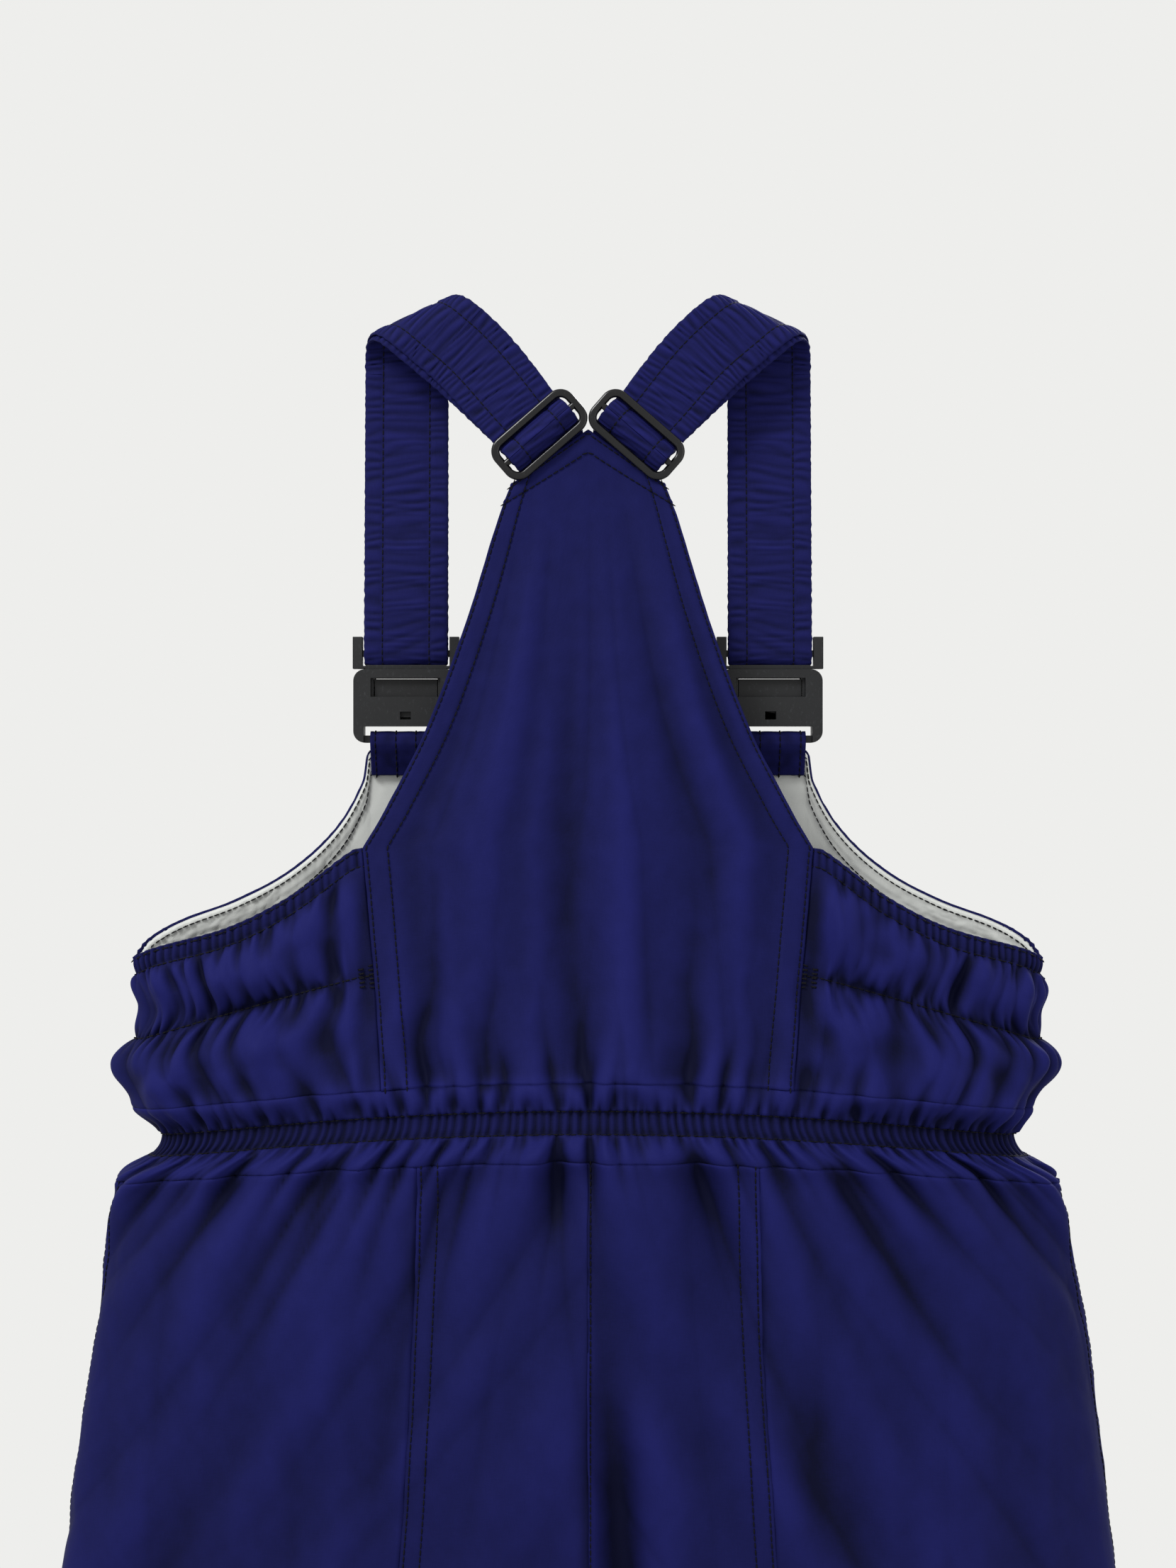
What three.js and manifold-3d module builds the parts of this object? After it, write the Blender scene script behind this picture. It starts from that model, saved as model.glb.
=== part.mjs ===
// Ski pants with a bib, hung up by their elastic shoulder straps.
// Millimetres, +Z up, +Y towards the wearer's front, +X towards the wearer's right hand.
// The origin is midway between the undersides of the two strap crests, where a bar would carry them.
import * as THREE from "three";
import { mergeVertices } from "three/addons/utils/BufferGeometryUtils.js";
import Module from "manifold-3d";

const wasm = await Module();
wasm.setup();

// ---------------------------------------------------------------- driving dimensions
const GAP = 0.3; // between two pieces that touch
const SEAM = GAP / 2; // each side's share of that gap along a seam

const FABRIC = 1.2; // outer shell cloth
const LINING = 0.8;
const ELASTIC = 1.0;
const FACING_STEP = FABRIC + GAP; // how far inside the outer face a lining starts

// Heights are measured down from the strap crests, along the garment.
const YOKE_APEX = -48;
const YOKE_CORNER = { x: 33, z: -71.5 };
const ARMHOLE_CORNER = { x: 95, z: -225 }; // where armhole edge and yoke seam meet
const BIB_TOP = -184;
const WAIST_TOP = -324;
const WAIST_HEIGHT = 32;
const FLY_END = -500;
const CROTCH = -635;
const HEM = -1365;
const WAIST_BOTTOM = WAIST_TOP - WAIST_HEIGHT;
const WAIST_MIDDLE = WAIST_TOP - WAIST_HEIGHT / 2;
const WAIST_ELASTIC_HEIGHT = 12;
const WAIST_DROOP = 16; // the waist hangs lower at the sides than at the centre
const DROOP_REACH = 150; // how far above and below the waist that droop fades
const YOKE_SEAM_AT_WAIST = 85;
const PRINCESS_AT_WAIST = 70; // seam down the back of each leg

const LEG_CENTRE = 114; // half the distance between the legs' middles at the crotch
const LEG_CENTRE_BEND = 2.2; // how late the seat divides into two legs

const STRAP_WIDTH = 36.4;
const STRAP = 1.6;
const STRAP_FRONT_X = 79.5;
const CREST_RADIUS = 8.7; // of the bar that the straps lie over
const CREST_SLOPE = THREE.MathUtils.degToRad(25);
const CREST_RUN = 9; // length of each crest piece beyond its curve

const BUCKLE = { width: 45.5, height: 32, depth: 9, top: -150, y: 6, corner: 5 };
const BUCKLE_SLOT = { width: 36.5, top: 24.8, height: 4 };
const BUCKLE_BAR = { height: 3.2, depth: 3.4 };
const BUCKLE_CAVITY = { width: 36, depth: 5.2, height: 22 };
const FRONT_WINDOW = { width: 27, top: 3.8, height: 9.4 };
const REAR_WINDOW = { width: 30.4, top: 3.8, height: 8.2 };
const PEEP_HOLE = { width: 4.7, top: 18.5, height: 3.4 };
const TONGUE_EAR = { width: 4.25, height: 14.3 };
const CROSSBAR = { height: 2.8, depth: 3, z: -143 };
const LATCH = { thickness: 2.4, width: 27.4, length: 13.5 };
const TAB = { width: 31, thickness: 1, end: -196 };

const RING = { length: 44, height: 21, corner: 7, bar: 1.8, middleBar: 1.5, x: 20.8, y: -16.1, z: -50.5 };
const RING_ANGLE = THREE.MathUtils.degToRad(41);
const RING_STRAP_WIDTH = 34; // the strap bunches a little inside its ring

const ZIP = { tape: 13.4, tapeThickness: 0.8, opening: 5.15, coil: 1.2, pitch: 0.6 };
const SLIDER = { width: 9.4, length: 11, plate: 1.3, lug: 1.2, lugHeight: 3.2 };
const PULL = { width: 8, length: 30, neck: 3.6, thickness: 1.4, pin: 0.7 };

const GAITER = { top: -1180, bottom: -1335, thickness: 1, taper: 14 };
const GAITER_ELASTIC_HEIGHT = 18;
const ARMHOLE_ELASTIC_HEIGHT = 7.5;

// ---------------------------------------------------------------- colours
const finish = (color, roughness, metalness = 0) => new THREE.MeshStandardMaterial({ color, roughness, metalness });
const shellCloth = finish(0x221d58, 0.6);
const strapCloth = finish(0x241f66, 0.65);
const liningCloth = finish(0xd7dada, 0.8);
const elasticWeb = finish(0x17171b, 0.85);
const mouldedPlastic = finish(0x37383c, 0.5);
const glossPlastic = finish(0x0c0c0e, 0.15);
const zipTapeCloth = finish(0x17162f, 0.8);
const zipMetal = finish(0x2a2b30, 0.35, 0.8);

// ---------------------------------------------------------------- small helpers
const { lerp, clamp, degToRad } = THREE.MathUtils;
const V = (x, y, z) => new THREE.Vector3(x, y, z);

/** A smooth function through [input, output] keys, with no overshoot beyond its end keys. */
function through(keys) {
  const slope = (i) => {
    const before = keys[Math.max(i - 1, 0)];
    const after = keys[Math.min(i + 1, keys.length - 1)];
    return (after[1] - before[1]) / (after[0] - before[0]);
  };
  const rising = keys.at(-1)[0] > keys[0][0];
  return (x) => {
    const inside = clamp(x, Math.min(keys[0][0], keys.at(-1)[0]), Math.max(keys[0][0], keys.at(-1)[0]));
    let i = 0;
    while (i < keys.length - 2 && (rising ? inside > keys[i + 1][0] : inside < keys[i + 1][0])) i++;
    const span = keys[i + 1][0] - keys[i][0];
    const t = (inside - keys[i][0]) / span;
    const [m0, m1] = [slope(i) * span, slope(i + 1) * span];
    const [p0, p1] = [keys[i][1], keys[i + 1][1]];
    return p0 + t * (m0 + t * (3 * (p1 - p0) - 2 * m0 - m1 + t * (2 * (p0 - p1) + m0 + m1)));
  };
}

/** A straight-line function through [input, output] keys that fall or rise steadily. */
function polyline(keys) {
  return (x) => {
    let i = 0;
    while (i < keys.length - 2 && (keys[1][0] > keys[0][0] ? x > keys[i + 1][0] : x < keys[i + 1][0])) i++;
    return lerp(keys[i][1], keys[i + 1][1], (x - keys[i][0]) / (keys[i + 1][0] - keys[i][0]));
  };
}

/** The volume inside a closed indexed mesh, negative where it faces inwards. */
function signedVolume(points, faces) {
  return faces.reduce((sum, [a, b, c]) => sum + points[a].dot(points[b].clone().cross(points[c])) / 6, 0);
}

/**
 * A closed sheet with a thickness. point(i, j, side) gives the grid's corners, i across from 0 to
 * across, j down from 0 to down, on side 0 or 1. A ring joins its last column to its first.
 */
function sheet(across, down, point, ring = false) {
  const columns = ring ? across : across + 1;
  const points = [];
  for (const side of [0, 1])
    for (let j = 0; j <= down; j++)
      for (let i = 0; i < columns; i++) points.push(point(i, j, side));
  const at = (side, i, j) => (side * (down + 1) + j) * columns + (ring ? i % across : i);
  const faces = [];
  const quad = (a, b, c, d) => faces.push([a, b, c], [a, c, d]);
  for (let j = 0; j < down; j++)
    for (let i = 0; i < across; i++) {
      quad(at(0, i, j), at(0, i + 1, j), at(0, i + 1, j + 1), at(0, i, j + 1));
      quad(at(1, i, j), at(1, i, j + 1), at(1, i + 1, j + 1), at(1, i + 1, j));
    }
  for (let i = 0; i < across; i++) {
    quad(at(0, i + 1, 0), at(0, i, 0), at(1, i, 0), at(1, i + 1, 0));
    quad(at(0, i, down), at(0, i + 1, down), at(1, i + 1, down), at(1, i, down));
  }
  for (let j = 0; j < down && !ring; j++) {
    quad(at(0, 0, j), at(0, 0, j + 1), at(1, 0, j + 1), at(1, 0, j));
    quad(at(0, across, j + 1), at(0, across, j), at(1, across, j), at(1, across, j + 1));
  }
  if (signedVolume(points, faces) < 0) faces.forEach((face) => face.reverse());
  return new THREE.BufferGeometry().setFromPoints(points).setIndex(faces.flat());
}

/** A flat strip of webbing along stations {p, across, normal, width}, of one thickness. */
function ribbon(stations, thickness) {
  return sheet(1, stations.length - 1, (i, j, side) => {
    const { p, across, normal, width } = stations[j];
    return p
      .clone()
      .addScaledVector(across, (i - 0.5) * width)
      .addScaledVector(normal, (0.5 - side) * thickness);
  });
}

/** A manifold solid of a closed geometry, for cutting and joining. */
function solid(geometry) {
  const bare = geometry.index ? geometry.toNonIndexed() : geometry.clone();
  bare.deleteAttribute("normal");
  bare.deleteAttribute("uv");
  const merged = mergeVertices(bare, 1e-4);
  const mesh = new wasm.Mesh({
    numProp: 3,
    vertProperties: merged.attributes.position.array,
    triVerts: new Uint32Array(merged.index.array),
  });
  return new wasm.Manifold(mesh);
}

function geometryOf(manifold) {
  const mesh = manifold.getMesh();
  return new THREE.BufferGeometry()
    .setAttribute("position", new THREE.BufferAttribute(mesh.vertProperties, 3))
    .setIndex(new THREE.BufferAttribute(mesh.triVerts, 1));
}

const block = (x, y, z, at = [0, 0, 0]) => new THREE.BoxGeometry(x, y, z).translate(...at);

/** A rounded rectangle in the XZ plane, extruded along Y about y = 0. */
function roundedPlate(width, height, depth, corner) {
  const [w, h] = [width / 2 - corner, height / 2 - corner];
  const outline = new THREE.Shape();
  outline.absarc(w, h, corner, 0, Math.PI / 2);
  outline.absarc(-w, h, corner, Math.PI / 2, Math.PI);
  outline.absarc(-w, -h, corner, Math.PI, Math.PI * 1.5);
  outline.absarc(w, -h, corner, Math.PI * 1.5, Math.PI * 2);
  return new THREE.ExtrudeGeometry(outline, { depth, bevelEnabled: false, curveSegments: 4 })
    .translate(0, 0, -depth / 2)
    .rotateX(Math.PI / 2);
}

const pants = new THREE.Group();

function add(name, geometry, material, parent = pants) {
  const mesh = new THREE.Mesh(geometry, material);
  mesh.name = name;
  parent.add(mesh);
  return mesh;
}

/** Turns a geometry into its mirror image across the middle of the garment. */
function mirrored(geometry) {
  const flat = geometry.index ? geometry.toNonIndexed() : geometry.clone();
  flat.scale(-1, 1, 1);
  const p = flat.attributes.position;
  for (let i = 0; i < p.count; i += 3) {
    const [a, c] = [V().fromBufferAttribute(p, i + 1), V().fromBufferAttribute(p, i + 2)];
    p.setXYZ(i + 1, c.x, c.y, c.z);
    p.setXYZ(i + 2, a.x, a.y, a.z);
  }
  return flat;
}

/** Adds NAME_R as built, on the wearer's right at +X, and NAME_L as its mirror image. */
function addPair(name, geometry, material) {
  add(name + "_R", geometry, material);
  add(name + "_L", mirrored(geometry), material);
}

// ---------------------------------------------------------------- the garment's surface
const halfWidth = through([
  [YOKE_APEX, 198], [-264, 198], [-284, 190], [-305, 200], [WAIST_TOP, 188], [WAIST_MIDDLE, 186], [WAIST_BOTTOM, 202],
  [-390, 212], [-425, 217], [-462, 221], [-536, 228], [CROTCH, 2 * LEG_CENTRE],
]);
const backDepth = through([
  [YOKE_APEX, 13.5], [-72, 14], [-150, 24], [-225, 34], [-275, 40], [WAIST_MIDDLE, 50], [-400, 58], [-480, 64],
  [-560, 66], [CROTCH, 64], [-800, 56], [-1000, 50], [-1200, 46], [HEM, 45],
]);
const legDepth = through([[FLY_END, 60], [-560, 64], [CROTCH, 64], [-800, 56], [-1000, 50], [-1200, 46], [HEM, 45]]);
const legHalfWidth = through([[CROTCH, LEG_CENTRE], [-700, 110], [-900, 106], [-1100, 103], [HEM, 101]]);
const legCentre = through([[CROTCH, LEG_CENTRE + SEAM], [-700, 114], [-900, 112], [HEM, 110]]);

// The centre front is one straight slope from the bib's top to the end of the fly.
const FRONT_TOP_DEPTH = 14.4;
const FRONT_SLOPE = 0.1416;
const frontLine = (z) => FRONT_TOP_DEPTH + FRONT_SLOPE * (BIB_TOP - z);

/** The middle and the half-width of the right leg's oval at height z; above the crotch it is cut at x = 0. */
function oval(z) {
  if (z <= CROTCH) return { centre: legCentre(z), half: legHalfWidth(z) };
  const down = clamp((WAIST_BOTTOM - z) / (WAIST_BOTTOM - CROTCH), 0, 1);
  const centre = (LEG_CENTRE + SEAM) * down ** LEG_CENTRE_BEND;
  return { centre, half: halfWidth(z) - centre };
}

function frontDepth(z) {
  const { centre, half } = oval(z);
  if (z <= FLY_END) return legDepth(z);
  return frontLine(z) / Math.sqrt(1 - (centre / half) ** 2);
}

const droop = (x, z) => {
  const { centre, half } = oval(z);
  const side = clamp(x / (centre + half), -1, 1);
  return WAIST_DROOP * side ** 2 * Math.exp(-(((z - WAIST_MIDDLE) / DROOP_REACH) ** 2));
};

/** A point of the surface: angle 0 is the middle of the back, 90 degrees the side, 180 the front. */
function surface(angle, z, inset = 0) {
  const { centre, half } = oval(z);
  const depth = Math.cos(angle) > 0 ? backDepth(z) : frontDepth(z);
  const x = centre + (half - inset) * Math.sin(angle);
  return V(x, -(depth - inset) * Math.cos(angle), z - droop(x, z));
}

/** The angle on the back (or the front) at which the surface is x from the middle. */
function angleAt(x, z, inset = 0, front = false) {
  const { centre, half } = oval(z);
  const angle = Math.asin(clamp((x - centre) / (half - inset), -1, 1));
  return front ? Math.PI - angle : angle;
}

/**
 * A panel of cloth. columns and rows are lists; place(column, row, inset) gives {angle, z}. It
 * starts inset inside the garment's surface and is as thick as its cloth.
 */
function panel(columns, rows, place, inset = 0, thickness = FABRIC) {
  return sheet(columns.length - 1, rows.length - 1, (i, j, side) => {
    const depth = inset + side * thickness;
    const { angle, z } = place(columns[i], rows[j], depth);
    return surface(angle, z, depth);
  });
}

const steps = (from, to, count) => Array.from({ length: count + 1 }, (_, i) => lerp(from, to, i / count));

// ---------------------------------------------------------------- back yoke and side panels
const armholeHalfWidth = polyline([
  [YOKE_CORNER.z, YOKE_CORNER.x], [-85, 38], [-131, 52], [-177, 69], [-210, 86],
  [ARMHOLE_CORNER.z, ARMHOLE_CORNER.x - SEAM],
]);
const yokeSeam = (z) =>
  lerp(ARMHOLE_CORNER.x, YOKE_SEAM_AT_WAIST, (z - ARMHOLE_CORNER.z) / (WAIST_TOP - ARMHOLE_CORNER.z));
const SEAM_ROWS = 7;
const seamHeights = steps(ARMHOLE_CORNER.z, WAIST_TOP + SEAM, SEAM_ROWS);

function yokePanel() {
  const upper = [YOKE_CORNER.z, -85, -108, -131, -154, -177, -196, -210].map((edge) => ({ edge, upper: true }));
  const lower = seamHeights.map((edge) => ({ edge, upper: false }));
  const place = (share, row, depth) => {
    const peak = (YOKE_APEX - YOKE_CORNER.z) * (1 - Math.abs(share));
    const left = (row.edge - ARMHOLE_CORNER.z) / (YOKE_CORNER.z - ARMHOLE_CORNER.z);
    const z = row.upper ? row.edge + peak * left : row.edge;
    const edgeX = row.upper ? armholeHalfWidth(row.edge) : yokeSeam(row.edge) - SEAM;
    return { angle: angleAt(share * edgeX, z, depth), z };
  };
  return panel(steps(-1, 1, 14), [...upper, ...lower], place);
}

// Top edge of the side panel: height over the distance from the middle, along the armhole.
const backArmhole = polyline([[95, -225], [100, -226], [127, -243], [154, -254], [188, -260], [198, -263]]);
const sideColumns = steps(0, 1, 8);

function sideAngle(share, z, depth) {
  const start = angleAt(yokeSeam(Math.min(z, ARMHOLE_CORNER.z)) + SEAM, z, depth);
  return lerp(start, Math.PI / 2 - SEAM / backDepth(z), share);
}

function sidePlace(share, row, depth) {
  const z = lerp(sideTop(share), WAIST_TOP + SEAM, row);
  return { angle: sideAngle(share, z, depth), z };
}

function sideTop(share) {
  const start = Math.asin(ARMHOLE_CORNER.x / halfWidth(ARMHOLE_CORNER.z));
  return backArmhole(halfWidth(ARMHOLE_CORNER.z) * Math.sin(lerp(start, Math.PI / 2, share)));
}

add("back_yoke_panel", yokePanel(), shellCloth);
addPair("side_panel", panel(sideColumns, steps(0, 1, SEAM_ROWS), sidePlace), shellCloth);
addPair(
  "armhole_elastic",
  sheet(sideColumns.length - 1, 1, (i, j, side) => {
    const z = sideTop(sideColumns[i]) - 1 - j * ARMHOLE_ELASTIC_HEIGHT;
    const depth = FACING_STEP + GAP + side * ELASTIC;
    const share = lerp(0.03, 0.98, sideColumns[i]);
    return surface(sideAngle(share, z, depth), z, depth);
  }),
  elasticWeb,
);

// ---------------------------------------------------------------- front bib and its lining
// Columns from the side seam to the centre front, each with the height of the bib's edge there.
const bibColumns = (centreEdge) => [
  { x: 198, top: -263, side: true }, { x: 193, top: -257 }, { x: 180, top: -251 }, { x: 154, top: -244 },
  { x: 130, top: -233 }, { x: 110, top: -216 }, { x: 98, top: -196 }, { x: 96, top: BIB_TOP },
  { x: 64, top: BIB_TOP }, { x: 32, top: BIB_TOP }, { x: centreEdge, top: BIB_TOP, centre: true },
];
const bibRows = [0, 0.12, 0.25, 0.4, 0.55, 0.7, 0.85, 1];

function bibPlace(column, row, depth) {
  const z = lerp(column.top, WAIST_TOP + SEAM, row);
  return { angle: frontAngle(column, z, depth), z };
}

/** A front column keeps its angle all the way down, except the one that follows the zip. */
function frontAngle(column, z, depth) {
  if (column.centre) return angleAt(column.x, z, depth, true);
  const angle = Math.PI - Math.asin(column.x / bibColumns()[0].x);
  return column.side ? angle + SEAM / frontDepth(z) : angle;
}

const liningEdge = ZIP.pitch + ZIP.tape + GAP; // the lining stops beside the zip's tape
addPair("front_bib", panel(bibColumns(ZIP.opening), bibRows, bibPlace), shellCloth);
addPair("front_lining", panel(bibColumns(liningEdge), bibRows, bibPlace, FACING_STEP, LINING), liningCloth);

// ---------------------------------------------------------------- waist
const backWaistColumns = steps(-Math.PI / 2 + 0.004, Math.PI / 2 - 0.004, 24);
const casing = steps(WAIST_MIDDLE + WAIST_ELASTIC_HEIGHT / 2, WAIST_MIDDLE - WAIST_ELASTIC_HEIGHT / 2, 2);
const waistRows = [WAIST_TOP - SEAM, ...casing, WAIST_BOTTOM + SEAM];
const aroundBack = (angle, z) => ({ angle, z });

add("back_waistband", panel(backWaistColumns, waistRows, aroundBack), shellCloth);
add(
  "waist_elastic",
  panel(backWaistColumns, casing, aroundBack, FACING_STEP, ELASTIC),
  elasticWeb,
);
const aroundFront = (column, z, depth) => ({ angle: frontAngle(column, z, depth), z });
addPair("front_waistband", panel(bibColumns(ZIP.opening), waistRows, aroundFront), shellCloth);

// ---------------------------------------------------------------- legs
const legRows = [
  WAIST_BOTTOM - SEAM, -390, -430, FLY_END + 30, FLY_END, -508, -550, -590, -620, CROTCH, -655, -720, -860,
  -1040, -1200, HEM,
];
const LEG_BACK_COLUMNS = 4;
const LEG_FRONT_COLUMNS = 8;

/** The angle where a leg panel ends at the middle of the seat, or at the inseam below it. */
function innerAngle(z, depth, front, clearance) {
  const edge = angleAt(clearance, z, depth);
  const inseam = -Math.PI / 2 + SEAM / legDepth(z);
  const back = Math.max(edge, inseam);
  return front ? Math.PI - back : back;
}

/** The princess seam drifts from its place at the waist to the middle of the leg's back. */
const princessX = through([[WAIST_BOTTOM, PRINCESS_AT_WAIST], [-500, 76], [CROTCH, 88], [-850, 103], [HEM, 110]]);
const princessAngle = (z, depth) => angleAt(princessX(z), z, depth);

const flyEdge = (z, width) => clamp(lerp(width, SEAM, (FLY_END - z) / 8), SEAM, width);
const seamAngle = (z) => SEAM / legDepth(z);

const legPanels = {
  inner: (share, z, depth) =>
    lerp(innerAngle(z, depth, false, SEAM), princessAngle(z, depth) - seamAngle(z), share),
  outer: (share, z, depth) => lerp(princessAngle(z, depth) + seamAngle(z), Math.PI / 2 - seamAngle(z), share),
  front: (share, z, depth) => {
    const centre = flyEdge(z, depth < FACING_STEP ? ZIP.opening : liningEdge);
    return lerp(Math.PI / 2 + seamAngle(z), innerAngle(z, depth, true, centre), share);
  },
};

function legPanel(part, columns, inset = 0, thickness = FABRIC) {
  return panel(
    steps(0, 1, columns),
    legRows,
    (share, z, depth) => ({ angle: legPanels[part](share, z, depth), z }),
    inset,
    thickness,
  );
}

/** A layer all round inside the leg, on the three panels' own columns so that it lies parallel to them. */
function legLayer(rows, insetAt, thickness) {
  const columns = [
    ...steps(0, 1, LEG_BACK_COLUMNS).map((share) => ({ part: "inner", share })),
    ...steps(0, 1, LEG_BACK_COLUMNS).slice(1).map((share) => ({ part: "outer", share })),
    ...steps(0, 1, LEG_FRONT_COLUMNS).slice(1).map((share) => ({ part: "front", share })),
  ];
  return sheet(columns.length - 1, rows.length - 1, (i, j, side) => {
    const depth = insetAt(rows[j]) + side * thickness;
    return surface(legPanels[columns[i].part](columns[i].share, rows[j], depth), rows[j], depth);
  });
}

addPair("back_leg_inner", legPanel("inner", LEG_BACK_COLUMNS), shellCloth);
addPair("back_leg_outer", legPanel("outer", LEG_BACK_COLUMNS), shellCloth);
addPair("front_leg", legPanel("front", LEG_FRONT_COLUMNS), shellCloth);
const liningInset = FACING_STEP + SEAM;
addPair("leg_lining", legLayer(legRows.slice(0, -1), () => liningInset, LINING), liningCloth);

// ---------------------------------------------------------------- snow gaiters inside the hems
const gaiterInset = (z) =>
  liningInset + LINING + GAP + (GAITER.taper * (GAITER.top - z)) / (GAITER.top - GAITER.bottom);
const elasticInset = (z) => gaiterInset(z) + GAITER.thickness + GAP;
const elasticEnds = [GAITER.bottom + GAITER_ELASTIC_HEIGHT, GAITER.bottom + 1];

addPair("gaiter", legLayer(steps(GAITER.top, GAITER.bottom, 3), gaiterInset, GAITER.thickness), shellCloth);
addPair("gaiter_elastic", legLayer(elasticEnds, elasticInset, ELASTIC), elasticWeb);

// ---------------------------------------------------------------- shoulder straps
// Each strap is folded over a tilted bar, so that its upright front run turns towards the middle
// of the back. along is the bar's direction and rise its upper side, for the wearer's right strap.
const WRAP = Math.PI / 2 - CREST_SLOPE;
const along = V(-Math.cos(CREST_SLOPE), 0, Math.sin(CREST_SLOPE));
const rise = V(Math.sin(CREST_SLOPE), 0, Math.cos(CREST_SLOPE));
const innerRadius = CREST_RADIUS + STRAP / 2;
const outerRadius = innerRadius + STRAP + GAP;
const crestAdvance = (innerRadius * Math.PI) / 2 / Math.tan(WRAP);
const barStart = V(STRAP_FRONT_X, 0, -crestAdvance * along.z - CREST_RADIUS * rise.z);

/**
 * A point of a strap folded over the bar: length along it from the front, offset towards +X in
 * front, and height above its middle surface.
 */
function folded(radius, length, offset, height = 0) {
  const turn = length * Math.sin(WRAP) + offset * Math.cos(WRAP);
  const slide = length * Math.cos(WRAP) - offset * Math.sin(WRAP);
  const half = Math.PI * radius;
  const angle = clamp(turn / radius, 0, Math.PI);
  const out = radius + height;
  return barStart
    .clone()
    .addScaledVector(along, slide)
    .addScaledVector(rise, out * Math.sin(angle) + Math.min(turn, 0) - Math.max(turn - half, 0))
    .add(V(0, out * Math.cos(angle), 0));
}

const crestLength = (radius) => (Math.PI * radius) / Math.sin(WRAP);
const crestStart = -CREST_RUN;
const crestEnd = (radius) => crestLength(radius) + CREST_RUN;

function crest(radius) {
  const end = crestEnd(radius);
  return sheet(4, 16, (i, j, side) => {
    return folded(radius, lerp(crestStart, end, j / 16), (i / 4 - 0.5) * STRAP_WIDTH, (0.5 - side) * STRAP);
  });
}

/** The strap's front run: down, round the tongue's crossbar, and back up inside. */
function frontStrap() {
  const turnRadius = Math.hypot(CROSSBAR.height, CROSSBAR.depth) / 2 + GAP + STRAP / 2;
  const top = barStart.z - CREST_RUN - GAP;
  const path = [[top, outerRadius], [lerp(top, CROSSBAR.z, 0.5), (outerRadius + BUCKLE.y + turnRadius) / 2]];
  for (const turn of steps(0, Math.PI, 6))
    path.push([CROSSBAR.z - turnRadius * Math.sin(turn), BUCKLE.y + turnRadius * Math.cos(turn)]);
  path.push([lerp(top, CROSSBAR.z, 0.5), (innerRadius + BUCKLE.y - turnRadius) / 2], [top, innerRadius]);
  return ribbon(flatStations(path, STRAP_FRONT_X, STRAP_WIDTH), STRAP);
}

/** Stations of a ribbon that lies across X and follows [z, y] points. */
function flatStations(path, x, width) {
  const points = path.map(([z, y]) => V(x, y, z));
  return points.map((p, i) => {
    const ahead = points[Math.min(i + 1, points.length - 1)];
    const behind = points[Math.max(i - 1, 0)];
    const tangent = ahead.clone().sub(behind).normalize();
    const across = V(1, 0, 0);
    return { p, across, normal: across.clone().cross(tangent).normalize(), width };
  });
}

addPair("strap_front", frontStrap(), strapCloth);
addPair("strap_crest_outer", crest(outerRadius), strapCloth);
addPair("strap_crest_inner", crest(innerRadius), strapCloth);

// ---------------------------------------------------------------- adjuster rings on the back
const ringCentre = V(RING.x, RING.y, RING.z);
const ringDown = V(-Math.sin(RING_ANGLE), 0, -Math.cos(RING_ANGLE)); // down the strap
const ringAcross = V(Math.cos(RING_ANGLE), 0, -Math.sin(RING_ANGLE)); // outwards, along the ring's long side
const BAR_SPACING = RING.height / 2 - RING.bar;

function adjusterRing() {
  const [w, h] = [RING.length / 2 - RING.corner, RING.height / 2 - RING.corner];
  const bend = RING.corner - RING.bar;
  const centreLine = [];
  [[w, h, 0], [-w, h, 1], [-w, -h, 2], [w, -h, 3]].forEach(([x, z, quarter]) =>
    steps(quarter * 90, quarter * 90 + 90, 3).forEach((degrees) => {
      const angle = degToRad(degrees);
      centreLine.push({ x: x + bend * Math.cos(angle), z: z + bend * Math.sin(angle), angle });
    }),
  );
  // a ring of cross-sections, each an octagon about the centre line
  const count = centreLine.length;
  const points = centreLine.flatMap(({ x, z, angle }) =>
    steps(0, 7, 7).map((k) => {
      const round = degToRad(22.5 + k * 45);
      const out = RING.bar * Math.cos(round);
      return V(x + out * Math.cos(angle), RING.bar * Math.sin(round), z + out * Math.sin(angle));
    }),
  );
  const faces = [];
  for (let i = 0; i < count; i++)
    for (let k = 0; k < 8; k++) {
      const [a, b] = [i * 8 + k, i * 8 + ((k + 1) % 8)];
      const [c, d] = [((i + 1) % count) * 8 + ((k + 1) % 8), ((i + 1) % count) * 8 + k];
      faces.push([a, b, c], [a, c, d]);
    }
  if (signedVolume(points, faces) < 0) faces.forEach((face) => face.reverse());
  const loop = new THREE.BufferGeometry().setFromPoints(points).setIndex(faces.flat());
  const middle = new THREE.CylinderGeometry(RING.middleBar, RING.middleBar, RING.length - 2 * RING.bar, 8)
    .rotateZ(Math.PI / 2);
  const turn = new THREE.Matrix4().makeBasis(ringAcross, V(0, 1, 0), ringDown.clone().negate());
  return geometryOf(solid(loop).add(solid(middle))).applyMatrix4(turn).translate(...ringCentre.toArray());
}

const runningRadius = RING.middleBar + STRAP * 1.5 + 2 * GAP; // of the running strap over the looped end
const loopRadius = RING.middleBar + STRAP / 2 + GAP;
const barRadius = RING.bar + STRAP / 2 + 2 * GAP;

/** A station of a back strap near its ring: q down the strap, h outwards from the ring's plane. */
function ringStation(q, h, slopeAngle, width = RING_STRAP_WIDTH) {
  const p = ringCentre.clone().addScaledVector(ringDown, q).add(V(0, -h, 0));
  const tangent = ringDown.clone().multiplyScalar(Math.cos(slopeAngle)).add(V(0, -Math.sin(slopeAngle), 0));
  return { p, across: ringAcross, normal: tangent.clone().cross(ringAcross).normalize(), width };
}

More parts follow.
